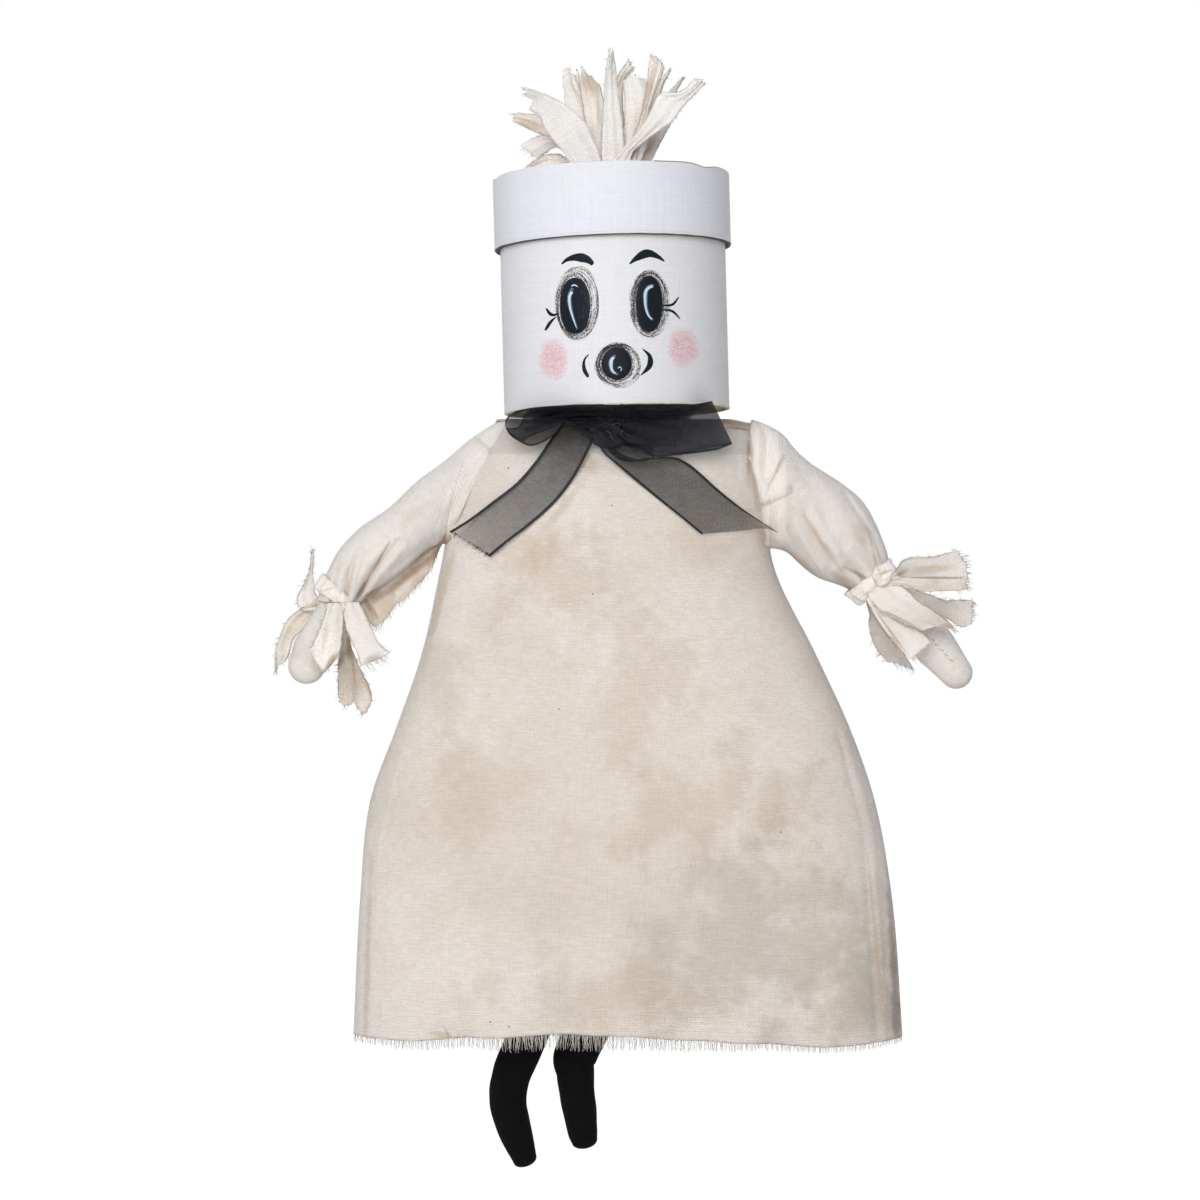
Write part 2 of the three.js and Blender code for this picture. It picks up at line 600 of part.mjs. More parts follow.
// A loop is a band of ribbon that runs out from the knot in a drop shape and folds back at its tip
function ribbonLoop({ root, tip, rootHalf, tipHalf, bulge, lean }) {
  const start = new THREE.Vector3(...root).add(knotCentre);
  const reach = new THREE.Vector3(...tip).add(knotCentre).sub(start);
  const level = new THREE.Vector2(reach.x, reach.y).normalize();
  const face = (offset) => (u, v) => {
    const turn = THREE.MathUtils.lerp(loopOpening, 2 * Math.PI - loopOpening, v);
    const out = (1 - Math.cos(turn)) / 2;
    const aside = bulge * Math.sin(turn) * Math.sin(turn / 2) ** 1.5 + offset * Math.sin(turn);
    const half = THREE.MathUtils.lerp(rootHalf, tipHalf, out);
    const rise = 2 * u - 1;
    return [start.x + reach.x * out - level.y * aside - level.x * offset * Math.cos(turn) + lean * rise * out,
      start.y + reach.y * out + level.x * aside - level.y * offset * Math.cos(turn),
      start.z + reach.z * out + half * rise];
  };
  return between(3, 24, face(ribbon / 2), face(-ribbon / 2));
}
add(doll, 'ribbon_loop_left', ribbonLoop(loops.left), organza);
add(doll, 'ribbon_loop_right', ribbonLoop(loops.right), organza);

// A tail hangs from the knot and lies over the dress's front
function ribbonTail({ upper, lower }) {
  const [high, low] = [upper, lower].map((edge) =>
    new THREE.SplineCurve(edge.map(([x, z]) => new THREE.Vector2(knotCentre.x + x, knotCentre.z + z))));
  const face = (offset) => (u, v) => {
    const at = low.getPoint(v).lerp(high.getPoint(v), u);
    const dress = section(at.y);
    const share = THREE.MathUtils.clamp((at.x - dress.middle) / dress.wide, -tailWrap, tailWrap);
    const front = dress.seam - dress.deep * swell(share);
    return [at.x, front - tailOnDress - tailAtKnot * (1 - v) ** 4 + offset, at.y];
  };
  return between(4, 14, face(-ribbon / 2), face(ribbon / 2));
}
add(doll, 'ribbon_tail_left', ribbonTail(tails.left), organza);
add(doll, 'ribbon_tail_right', ribbonTail(tails.right), organza);

export default doll;
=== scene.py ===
"""Art doll with a gift-box head, a muslin dress and an organza bow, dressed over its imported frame."""

import math
import random

import bmesh
import bpy
from mathutils import Matrix, Vector, noise


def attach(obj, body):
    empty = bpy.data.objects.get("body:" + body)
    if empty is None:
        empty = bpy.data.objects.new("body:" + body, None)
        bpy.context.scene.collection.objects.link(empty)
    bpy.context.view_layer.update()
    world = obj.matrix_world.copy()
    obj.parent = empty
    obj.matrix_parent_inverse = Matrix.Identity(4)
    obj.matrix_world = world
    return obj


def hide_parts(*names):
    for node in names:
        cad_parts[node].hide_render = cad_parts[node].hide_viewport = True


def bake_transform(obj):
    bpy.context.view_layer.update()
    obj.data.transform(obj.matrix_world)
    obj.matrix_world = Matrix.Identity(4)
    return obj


bl_info = {
    "name": "Art doll with a gift-box head",
    "version": (1, 0, 0),
    "blender": (4, 5, 0),
    "location": "View3D > Sidebar > Art doll",
    "description": "Builds an art doll from its box, cloth, ribbon and paint",
    "category": "Add Mesh",
}

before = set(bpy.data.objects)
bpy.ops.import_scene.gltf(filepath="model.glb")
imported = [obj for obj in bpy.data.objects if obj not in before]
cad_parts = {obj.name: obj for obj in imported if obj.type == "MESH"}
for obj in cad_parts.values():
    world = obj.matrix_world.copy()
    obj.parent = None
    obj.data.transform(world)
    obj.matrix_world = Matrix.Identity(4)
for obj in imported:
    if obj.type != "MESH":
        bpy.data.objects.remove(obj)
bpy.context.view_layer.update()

MM = 0.001
EYE = Vector((-6.4, -1611.0, 0.0))
PIXEL = 0.5333 / 1547.0
TILT = math.radians(-1.5)
HEAD = Matrix.Translation((2.7, -64.0, 100.5)) @ Matrix.Rotation(TILT, 4, "Y")
FLOOR_HEIGHT = -309.0
# Depths in mm: of the arms, and of the armhole seams before and behind
ARM_DEPTH = -52.0
SEAM_FRONT = -60.0
SEAM_BACK = -14.0
# Widths in mm: of the ribbon, of one picture point at the doll, and the least flat size that a strip is reckoned with
RIBBON = 25.0
POINT = 0.53
LEAST = 10.1


class ArtDollSizes(bpy.types.PropertyGroup):
    """Sizes that a maker would change"""

    weave_pitch: bpy.props.FloatProperty(
        name="Weave pitch", description="From one muslin thread to the next", default=0.0009,
        min=0.0003, unit="LENGTH")
    cloth: bpy.props.FloatProperty(
        name="Cloth", description="Thickness of the dress muslin", default=0.001, min=0.0002, unit="LENGTH")
    strip: bpy.props.FloatProperty(
        name="Torn strip", description="Thickness of a torn strip", default=0.0006, min=0.0002, unit="LENGTH")
    fringe: bpy.props.FloatProperty(
        name="Fringe", description="Length of the frayed hem", default=0.0105, min=0.001, unit="LENGTH")
    selvage: bpy.props.FloatProperty(
        name="Selvage", description="Width of the ribbon's firm edges", default=0.0016, min=0.0005,
        unit="LENGTH")


class ArtDollColours(bpy.types.PropertyGroup):
    """Colours that a maker would change"""

    muslin: bpy.props.FloatVectorProperty(
        name="Muslin", description="Unbleached cotton", subtype="COLOR", default=(0.92, 0.845, 0.775))
    muslin_shade: bpy.props.FloatVectorProperty(
        name="Muslin shade", description="Its tan patches", subtype="COLOR", default=(0.66, 0.53, 0.4))
    paper: bpy.props.FloatVectorProperty(
        name="Paper", description="Linen paper on the box", subtype="COLOR", default=(0.79, 0.795, 0.84))
    board: bpy.props.FloatVectorProperty(
        name="Board", description="Raw cardboard", subtype="COLOR", default=(0.62, 0.52, 0.4))
    paint: bpy.props.FloatVectorProperty(
        name="Paint", description="Charcoal paint of the face", subtype="COLOR",
        default=(0.007, 0.0105, 0.016))
    highlight: bpy.props.FloatVectorProperty(
        name="Highlight", description="Pale blue strokes in the eyes", subtype="COLOR",
        default=(0.5, 0.62, 0.74))
    cheek: bpy.props.FloatVectorProperty(
        name="Cheek", description="Stippled pink", subtype="COLOR", default=(0.9, 0.36, 0.42))
    organza: bpy.props.FloatVectorProperty(
        name="Organza", description="Sheer black ribbon", subtype="COLOR", default=(0.007, 0.0075, 0.009))
    legs: bpy.props.FloatVectorProperty(
        name="Legs", description="Black cloth", subtype="COLOR", default=(0.0045, 0.0045, 0.0055))


def sizes():
    return bpy.context.scene.art_doll_sizes


def at(px, py, y):
    """The point of the picture that lies at depth y, in mm."""
    away = (y - EYE.y) * PIXEL
    return Vector((EYE.x + (px - 600.0) * away, y, (600.0 - py) * away))


def picture(point):
    """Where a point in mm stands in the picture."""
    away = (point[1] - EYE.y) * PIXEL
    return (point[0] - EYE.x) / away + 600.0, 600.0 - point[2] / away


def clamp(value, low=0.0, high=1.0):
    return min(max(value, low), high)


def mix(a, b, share):
    return a + (b - a) * share


def ease(low, high, value):
    share = clamp((value - low) / (high - low))
    return share * share * (3 - 2 * share)


def power(value, exponent):
    return math.copysign(abs(value) ** exponent, value)


def smooth(rows):
    """A smooth curve through rows whose first number is where each row stands."""
    places = [row[0] for row in rows]

    def along(where):
        t = clamp(where, places[0], places[-1])
        k = 0
        while k < len(rows) - 2 and t >= places[k + 1]:
            k += 1
        start, end = rows[k], rows[k + 1]
        before = rows[k - 1] if k > 0 else end
        after = rows[k + 2] if k + 2 < len(rows) else start
        half = (end[0] - start[0]) / 2
        first = half / (start[0] - before[0])
        last = half / (after[0] - end[0])
        p = (t - start[0]) / (end[0] - start[0])
        shares = (
            -first * p**3 + 2 * first * p * p - first * p,
            (1 + first) * p**3 + (-1.5 - 2 * first) * p * p + (-0.5 + first) * p + 1,
            (-1 - last) * p**3 + (1.5 + last) * p * p + 0.5 * p,
            last * p**3 - last * p * p,
        )
        return [sum(s * row[n] for s, row in zip(shares, (before, start, end, after)))
                for n in range(1, len(start))]

    return along


def path(points, bent=True):
    """A path through points, from 0 at its first to 1 at its last."""
    reach = [0.0]
    for a, b in zip(points, points[1:]):
        reach.append(reach[-1] + math.dist(a, b))
    rows = [[r / reach[-1], *point] for r, point in zip(reach, points)]
    if bent and len(points) > 2:
        line = smooth(rows)
        return lambda t: Vector(line(t))

    def straight(t):
        t = clamp(t)
        for a, b in zip(rows, rows[1:]):
            if t <= b[0]:
                break
        share = clamp((t - a[0]) / (b[0] - a[0]))
        return Vector(a[1:]).lerp(Vector(b[1:]), share)

    return straight


def near(px, py, line):
    """How far a spot of the picture is from a line through spots."""
    best = 1e9
    for (ax, ay), (bx, by) in zip(line, line[1:]):
        dx, dy = bx - ax, by - ay
        t = clamp(((px - ax) * dx + (py - ay) * dy) / (dx * dx + dy * dy))
        best = min(best, math.hypot(px - ax - t * dx, py - ay - t * dy))
    return best


def folds(px, py, creases):
    """Sum of folds: (line, width in picture points, height in mm)."""
    return sum(high * math.exp(-((near(px, py, line) / wide) ** 2)) for line, wide, high in creases)


def rumple(x, z, size, high, seed=0.0):
    return high * noise.noise(Vector((x / size, z / size, seed)))


def placed(mesh, name, smooth_faces=True):
    """A finished piece from its bmesh, standing at the origin."""
    for face in mesh.faces:
        face.smooth = smooth_faces
    data = bpy.data.meshes.new(name)
    mesh.to_mesh(data)
    mesh.free()
    piece = bpy.data.objects.new(name, data)
    bpy.context.scene.collection.objects.link(piece)
    return piece


def formed(name, across, along, place, flat, closed=False):
    """A piece of across by along faces, each corner where place(u, v) says in mm; flat is its size in mm."""
    mesh = bmesh.new()
    bmesh.ops.create_grid(mesh, x_segments=across, y_segments=along, size=0.5)
    chart = mesh.loops.layers.uv.new("UVMap")
    for face in mesh.faces:
        for loop in face.loops:
            spot = loop.vert.co
            loop[chart].uv = ((spot.x + 0.5) * flat[0] * MM, (spot.y + 0.5) * flat[1] * MM)
    for vert in mesh.verts:
        vert.co = Vector(place(clamp(vert.co.x + 0.5), clamp(vert.co.y + 0.5))) * MM
    if closed:
        bmesh.ops.remove_doubles(mesh, verts=mesh.verts, dist=0.00001)
        bmesh.ops.recalc_face_normals(mesh, faces=mesh.faces)
    return placed(mesh, name)


def spun(name, profile, steps, bevel, shape):
    """A ring or disc turned about the box's axis from its profile of [radius, height] in mm."""
    mesh = bmesh.new()
    verts = [mesh.verts.new((r * MM, 0, z * MM)) for r, z in profile]
    edges = [mesh.edges.new(pair) for pair in zip(verts, verts[1:])]
    if profile[0][0] > 0:
        edges.append(mesh.edges.new((verts[-1], verts[0])))
    bmesh.ops.spin(mesh, geom=verts + edges, cent=(0, 0, 0), axis=(0, 0, 1), angle=2 * math.pi, steps=steps,
                   use_merge=True)
    bmesh.ops.remove_doubles(mesh, verts=mesh.verts, dist=0.00001)
    bmesh.ops.recalc_face_normals(mesh, faces=mesh.faces)
    if bevel:
        sharp = [e for e in mesh.edges if len(e.link_faces) == 2 and e.calc_face_angle() > 0.7]
        bmesh.ops.bevel(mesh, geom=sharp, offset=bevel * MM, affect="EDGES", segments=3, profile=0.5,
                        material=-1)
    chart = mesh.loops.layers.uv.new("UVMap")
    for face in mesh.faces:
        middle = face.calc_center_median()
        level = abs(face.normal.z) > 0.7
        facing = math.atan2(middle.y, middle.x)
        radius = math.hypot(middle.x, middle.y)
        for loop in face.loops:
            spot = loop.vert.co
            if level:
                loop[chart].uv = (spot.x, spot.y)
                continue
            turn = (math.atan2(spot.y, spot.x) - facing + math.pi) % (2 * math.pi) - math.pi
            loop[chart].uv = ((facing + turn) * radius, spot.z)
    if shape:
        for vert in mesh.verts:
            vert.co = Vector(shape(*(vert.co / MM))) * MM
    place = HEAD.copy()
    place.translation *= MM
    bmesh.ops.transform(mesh, matrix=place, verts=mesh.verts)
    return placed(mesh, name)


def add_grid(mesh, chart, across, along, chart_at):
    """Adds a grid to the mesh, charted by chart_at(u, v), and gives its corners."""
    made = bmesh.ops.create_grid(mesh, x_segments=across, y_segments=along, size=0.5)["verts"]
    for face in {f for v in made for f in v.link_faces}:
        for loop in face.loops:
            loop[chart].uv = chart_at(loop.vert.co.x + 0.5, loop.vert.co.y + 0.5)
    return made


def threads(name, runs, wide, steps=4):
    """Loose threads. Each run is a list of four points in mm, from its root to its end."""
    mesh = bmesh.new()
    chart = mesh.loops.layers.uv.new("UVMap")
    for order, run in enumerate(runs):
        made = add_grid(mesh, chart, 1, steps, lambda u, v: (u * wide * MM, v * 0.006))
        turn = 0.9 * math.sin(order * 2.4)
        line = path(run)
        for vert in made:
            u, v = vert.co.x, vert.co.y + 0.5
            here, ahead = line(v), line(min(v + 0.05, 1)) - line(max(v - 0.05, 0))
            across = ahead.cross(Vector((0, 1, 0)))
            across = across.normalized() if across.length > 1e-6 else Vector((1, 0, 0))
            across = across * math.cos(turn) + Vector((0, 1, 0)) * math.sin(turn)
            vert.co = (here + across * u * wide * (1 - 0.6 * v)) * MM
    return placed(mesh, name)


def wisp(root, out, drift, reach, first=0.4):
    """The four points of a loose thread that leaves along out and drifts off."""
    return [root, root + out * reach * first, root + (out + drift * first) * reach * 0.7,
            root + (out + drift) * reach]


def thick(piece, amount):
    """Gives a sheet its thickness in metres, half to each side."""
    wall = piece.modifiers.new("Thickness", "SOLIDIFY")
    wall.thickness = amount
    wall.offset = 0.0


def settle(piece):
    """Makes the piece's modifiers part of its mesh."""
    shown = piece.evaluated_get(bpy.context.evaluated_depsgraph_get())
    data = bpy.data.meshes.new_from_object(shown)
    piece.modifiers.clear()
    old = piece.data
    piece.data = data
    bpy.data.meshes.remove(old)


def dress_piece(piece, body, look, nodes=()):
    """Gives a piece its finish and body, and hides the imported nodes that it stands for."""
    piece.data.materials.clear()
    piece.data.materials.append(look)
    if body:
        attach(piece, body)
    if nodes:
        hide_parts(*nodes)
    return piece


# Nodes

class Wire:
    """A node's output that can be reckoned with like a number."""

    def __init__(self, tree, socket):
        self.tree = tree
        self.socket = socket

    def reckon(self, operation, *others, **settings):
        return wire(self.tree, "ShaderNodeMath", dict(enumerate((self, *others))), operation=operation, **settings)

    def __add__(self, other):
        return self.reckon("ADD", other)

    __radd__ = __add__

    def __sub__(self, other):
        return self.reckon("SUBTRACT", other)

    def __rsub__(self, other):
        return wire(self.tree, "ShaderNodeMath", {0: other, 1: self}, operation="SUBTRACT")

    def __mul__(self, other):
        return self.reckon("MULTIPLY", other)

    __rmul__ = __mul__

    def __truediv__(self, other):
        return self.reckon("DIVIDE", other)

    def span(self, low, high, to_low=0.0, to_high=1.0):
        """Carries the value from low..high to other limits."""
        return wire(self.tree, "ShaderNodeMapRange", {0: self, 1: low, 2: high, 3: to_low, 4: to_high},
                    interpolation_type="SMOOTHSTEP")

    def parts(self):
        made = node(self.tree, "ShaderNodeSeparateXYZ", {0: self})
        return [Wire(self.tree, socket) for socket in made.outputs]


def fill(made, values):
    """Sets a node's inputs, each to a plain value or to another node's output."""
    for name, value in values.items():
        if isinstance(value, Wire):
            value.tree.links.new(value.socket, made.inputs[name])
        else:
            made.inputs[name].default_value = value
    return made


def node(tree, kind, values=None, **settings):
    made = tree.nodes.new(kind)
    for name, value in settings.items():
        setattr(made, name, value)
    return fill(made, values or {})


def wire(tree, kind, values=None, pick=0, **settings):
    return Wire(tree, node(tree, kind, values, **settings).outputs[pick])


def blended(tree, share, first, second, way="MIX"):
    return wire(tree, "ShaderNodeMix", {0: share, 6: first, 7: second}, 2, data_type="RGBA", blend_type=way)


def dimmed(tree, colour, dim):
    """The colour, multiplied all over by a value."""
    grey = wire(tree, "ShaderNodeCombineColor", {0: dim, 1: dim, 2: dim})
    return blended(tree, 1.0, colour, grey, "MULTIPLY")


def grain(place, scale, detail=2.0, stretch=(1, 1, 1), shift=(0, 0, 0)):
    moved = wire(place.tree, "ShaderNodeMapping", {"Vector": place, "Location": shift, "Scale": stretch})
    return wire(place.tree, "ShaderNodeTexNoise", {"Vector": moved, "Scale": scale, "Detail": detail}, "Fac")


def bands(place, scale, detail, detail_scale, way):
    return wire(place.tree, "ShaderNodeTexWave", {"Vector": place, "Scale": scale, "Distortion": 9.0,
                                                  "Detail": detail, "Detail Scale": detail_scale},
                "Fac", bands_direction=way)


def shared(name, inputs, outputs, build):
    """A node group with named sockets, built once. An input without a default is a vector."""
    tree = bpy.data.node_groups.get(name)
    if tree:
        return tree
    tree = bpy.data.node_groups.new(name, "ShaderNodeTree")
    for label, default in inputs.items():
        kind = "NodeSocketVector" if default is None else "NodeSocketFloat"
        socket = tree.interface.new_socket(name=label, in_out="INPUT", socket_type=kind)
        if default is not None:
            socket.default_value = default
    for label in outputs:
        tree.interface.new_socket(name=label, in_out="OUTPUT", socket_type="NodeSocketFloat")
    start = tree.nodes.new("NodeGroupInput")
    end = tree.nodes.new("NodeGroupOutput")
    fill(end, build(tree, {label: Wire(tree, start.outputs[label]) for label in inputs}))
    return tree


def weave_group():
    """Plain weave on the cloth's own chart in metres."""
    def build(tree, given):
        chart = given["Chart"]
        wander = (grain(chart, 60.0, 1.0) - 0.5) * given["Wander"]
        across, along = [part / given["Pitch"] + wander for part in chart.parts()[:2]]
        warp, weft = [(count * math.pi).reckon("SINE").reckon("ABSOLUTE") for count in (across, along)]
        over = (across.reckon("FLOOR") + along.reckon("FLOOR")).reckon("PINGPONG", 1.0)
        height = over * warp + (1.0 - over) * weft
        up = grain(chart, 1.0, 1.0, (1100, 200, 1))
        side = grain(chart, 1.0, 1.0, (160, 1000, 1), (7, 3, 0))
        slub = up.span(0.35, 0.7, 0.0, 0.7) + side.span(0.35, 0.7, 0.0, 1.3)
        return {"Height": height + slub * 0.5, "Shade": height * 0.5 + slub * 0.25}

    return shared("Plain weave", {"Chart": None, "Pitch": 0.0009, "Wander": 0.8}, ("Height", "Shade"), build)


def wear_group():
    """Soft patches and small dark specks, on the object's own place."""
    def build(tree, given):
        place = given["Place"]
        cell = node(tree, "ShaderNodeTexVoronoi", {"Vector": place, "Scale": given["Specks"]})
        away, tint = [Wire(tree, cell.outputs[label]) for label in ("Distance", "Color")]
        some = wire(tree, "ShaderNodeSeparateColor", {0: tint}).reckon("GREATER_THAN", 0.82)
        return {"Patch": grain(place, given["Patches"], 3.0).span(0.42, 0.66), "Fine": grain(place, 900.0, 2.0),
                "Speck": away.reckon("LESS_THAN", 0.055) * some}

    return shared("Cloth wear", {"Place": None, "Patches": 9.0, "Specks": 110.0}, ("Patch", "Fine", "Speck"), build)


def patch_group():
    """A soft patch of colour round a place, turned in the picture's plane and broken at its edges."""
    def build(tree, given):
        place, middle = given["Place"], given["Middle"]
        turned = wire(tree, "ShaderNodeVectorRotate", {"Vector": place, "Center": middle, "Angle": given["Turn"]},
                      rotation_type="Y_AXIS")
        away = wire(tree, "ShaderNodeVectorMath", {0: turned, 1: middle}, operation="SUBTRACT")
        scaled = wire(tree, "ShaderNodeVectorMath", {0: away, 1: given["Size"]}, operation="DIVIDE")
        far = wire(tree, "ShaderNodeVectorMath", {0: scaled}, "Value", operation="LENGTH")
        broad = (grain(place, 34.0, 3.0) - 0.5) * given["Broken"]
        small = (grain(place, 130.0, 3.0) - 0.5) * 0.9
        return {"Mask": (far + (broad + small)).span(1.2, 0.25)}

    return shared("Soft patch", {"Place": None, "Middle": None, "Size": None, "Turn": 0.0, "Broken": 2.0},
                  ("Mask",), build)


def own_tree(block):
    """The emptied node tree of a world or a material."""
    block.use_nodes = True
    block.node_tree.nodes.clear()
    return block.node_tree


def new_look(name, **plain):
    """A material with its shader; plain values stand on the shader's own sockets."""
    look = bpy.data.materials.new(name)
    tree = own_tree(look)
    values = {label.replace("_", " "): value for label, value in plain.items()}
    shader = node(tree, "ShaderNodeBsdfPrincipled", values)
    node(tree, "ShaderNodeOutputMaterial", {0: Wire(tree, shader.outputs[0])})
    chart = wire(tree, "ShaderNodeUVMap", uv_map="UVMap")
    place = wire(tree, "ShaderNodeTexCoord", pick="Object")
    return look, shader, chart, place


def placed_group(group, place, **values):
    """A shared effect in a material, on the chart or place that is its first input."""
    made = place.tree.nodes.new("ShaderNodeGroup")
    made.node_tree = group
    fill(made, {0: place, **values})
    return {socket.name: Wire(place.tree, socket) for socket in made.outputs}


def bumped(height, depth):
    return wire(height.tree, "ShaderNodeBump", {"Height": height, "Distance": depth, "Strength": 1.0})


def opaque(colour, by=(1, 1, 1)):
    return (*(part * share for part, share in zip(colour, by)), 1.0)


def cloth_look(name, light, shade, patches=9.0, amount=0.6, contrast=0.22, spots=(), specks=110.0):
    """Muslin: plain weave with slubs, tan patches and a few dark specks."""
    look, shader, chart, place = new_look(name, Roughness=0.92, Sheen_Weight=0.12, Sheen_Roughness=0.6,
                                          Specular_IOR_Level=0.25)
    tree = chart.tree
    weave = placed_group(weave_group(), chart, Pitch=sizes().weave_pitch)
    wear = placed_group(wear_group(), place, Patches=patches, Specks=specks)
    colour = blended(tree, wear["Patch"] * amount, opaque(light), opaque(shade))
    # Each listed spot is a stain or painted shade, as its table says.
    for px, py, wide, high, turn, tone, strength, broken in spots:
        mask = placed_group(patch_group(), place, Middle=at(px, py, SEAM_FRONT) * MM, Turn=-math.radians(turn),
                            Size=(wide * MM, 0.5, high * MM), Broken=broken)["Mask"]
        colour = blended(tree, mask * strength, colour, opaque(tone))
    dim = (1.0 - contrast + weave["Shade"] * (contrast * 1.35)) * (0.94 + wear["Fine"] * 0.12)
    colour = blended(tree, wear["Speck"] * 0.75, dimmed(tree, colour, dim), (0.09, 0.045, 0.025, 1))
    fill(shader, {"Base Color": colour, "Normal": bumped(weave["Height"], 0.00022)})
    return look


def paper_look(name, tone):
    """Linen-textured paper: fine ribs both ways, a little uneven."""
    look, shader, chart, place = new_look(name, Roughness=0.62, Specular_IOR_Level=0.3)
    weave = placed_group(weave_group(), chart, Pitch=0.00075, Wander=0.4)
    long, tall = [grain(chart, 1.0, 2.0, stretch) for stretch in ((900, 25, 1), (25, 900, 1))]
    dim = 0.86 + weave["Shade"] * 0.06 + long * 0.1 + tall * 0.1
    worn = grain(place, 14.0, 4.0).span(0.5, 0.75, 0.0, 0.35)
    base = blended(chart.tree, worn, opaque(tone), opaque(tone, (0.93, 0.92, 0.93)))
    fill(shader, {"Base Color": dimmed(chart.tree, base, dim),
                  "Normal": bumped(weave["Height"] + (long + tall) * 1.2, 0.0001)})
    return look


def board_look(name, tone):
    """Raw cardboard: short fibres and small pits."""
    look, shader, _, place = new_look(name, Roughness=0.95)
    fibre, pits = grain(place, 700.0, 4.0), grain(place, 180.0, 3.0)
    colour = blended(place.tree, fibre.span(0.35, 0.7), opaque(tone, (0.8, 0.77, 0.72)), opaque(tone))
    fill(shader, {"Base Color": colour, "Normal": bumped(fibre + pits, 0.0002)})
    return look


def paint_look(name, tone, streak=0.3, rough=0.42):
    """Acrylic paint: brush streaks along the stroke."""
    look, shader, chart, place = new_look(name, Roughness=rough, Specular_IOR_Level=0.08)
    brush = grain(chart, 1.0, 3.0, (2600, 180, 1))
    cloudy = grain(place, 260.0, 3.0)
    light = opaque([min(1.0, part * (1 + streak)) for part in tone])
    colour = blended(chart.tree, (brush * 0.6 + cloudy * 0.4).span(0.45, 0.75), opaque(tone), light)
    fill(shader, {"Base Color": colour, "Normal": bumped(brush, 0.00006)})
    return look


def dry_look(name, tone, cover=0.5, fine=2600.0, drag=120.0):
    """Dry brush: broken streaks that let the paper through."""
    look, shader, chart, place = new_look(name, Roughness=0.8, Base_Color=opaque(tone))
    body = grain(chart, 1.0, 3.0, (fine, drag, 1)) * 0.6 + grain(place, 1500.0, 2.0) * 0.4
    edge = 1.0 - (chart.parts()[0] * 2000.0 - 1.0).reckon("ABSOLUTE")
    held = body.span(0.62 - cover * 0.3, 0.8 - cover * 0.3) * edge.span(0.0, 0.5)
    fill(shader, {"Alpha": held})
    return look


def stipple_look(name, tone):
    """Cheek: a dabbed pink that follows the paper's ribs, soft at its rim."""
    look, shader, chart, place = new_look(name, Roughness=0.8, Base_Color=opaque(tone))
    dabs = grain(place, 900.0, 3.0)
    ribs = grain(place, 1.0, 2.0, (300, 300, 1500))
    ragged = chart.parts()[1] * 1000.0 + (dabs - 0.5) * 0.9
    body = dabs * 0.62 + bands(place, 95.0, 3.0, 2.0, "Z") * 0.12 + ribs * 0.26
    fill(shader, {"Alpha": body.span(0.3, 0.7, 0.16, 0.42) * ragged.span(1.0, 0.5)})
    return look


def organza_look(name, tone, cover=0.5, watered=0.08, fade=0.0):
    """Sheer ribbon: a fine open weave between two firm selvages, with watered bands."""
    look, shader, chart, _ = new_look(name, Roughness=0.42, Specular_IOR_Level=0.35)
    weave = placed_group(weave_group(), chart, Pitch=0.0006, Wander=0.3)
    across, along, _ = chart.parts()
    firm = across.reckon("MINIMUM", RIBBON * MM - across).span(0.0014, 0.00125)
    held = cover - 0.14 + weave["Shade"] * 0.2
    held = held + (bands(chart, 420.0, 2.0, 0.5, "DIAGONAL") - 0.5) * watered
    held = held + (grain(chart, 120.0, 2.0) - 0.5) * 0.12 + (0.035 - along) * (fade / 0.035)
    colour = blended(chart.tree, weave["Shade"], opaque(tone), opaque(tone, (1.8, 1.8, 2.1)))
    colour = blended(chart.tree, firm, colour, (0.004, 0.004, 0.006, 1))
    fill(shader, {"Alpha": held.reckon("MAXIMUM", firm * 0.99, use_clamp=True), "Base Color": colour,
                  "Normal": bumped(weave["Height"], 0.00012)})
    return look


def black_look(name, tone):
    """Black cotton: fine weave with a little lint."""
    look, shader, chart, place = new_look(name, Roughness=0.95, Specular_IOR_Level=0.1)
    weave = placed_group(weave_group(), chart, Pitch=0.0006, Wander=0.5)
    lint = opaque([part * 2 + 0.002 for part in tone])
    colour = blended(chart.tree, grain(place, 420.0, 4.0).span(0.55, 0.85), opaque(tone), lint)
    fill(shader, {"Base Color": colour, "Normal": bumped(weave["Height"], 0.00015)})
    return look


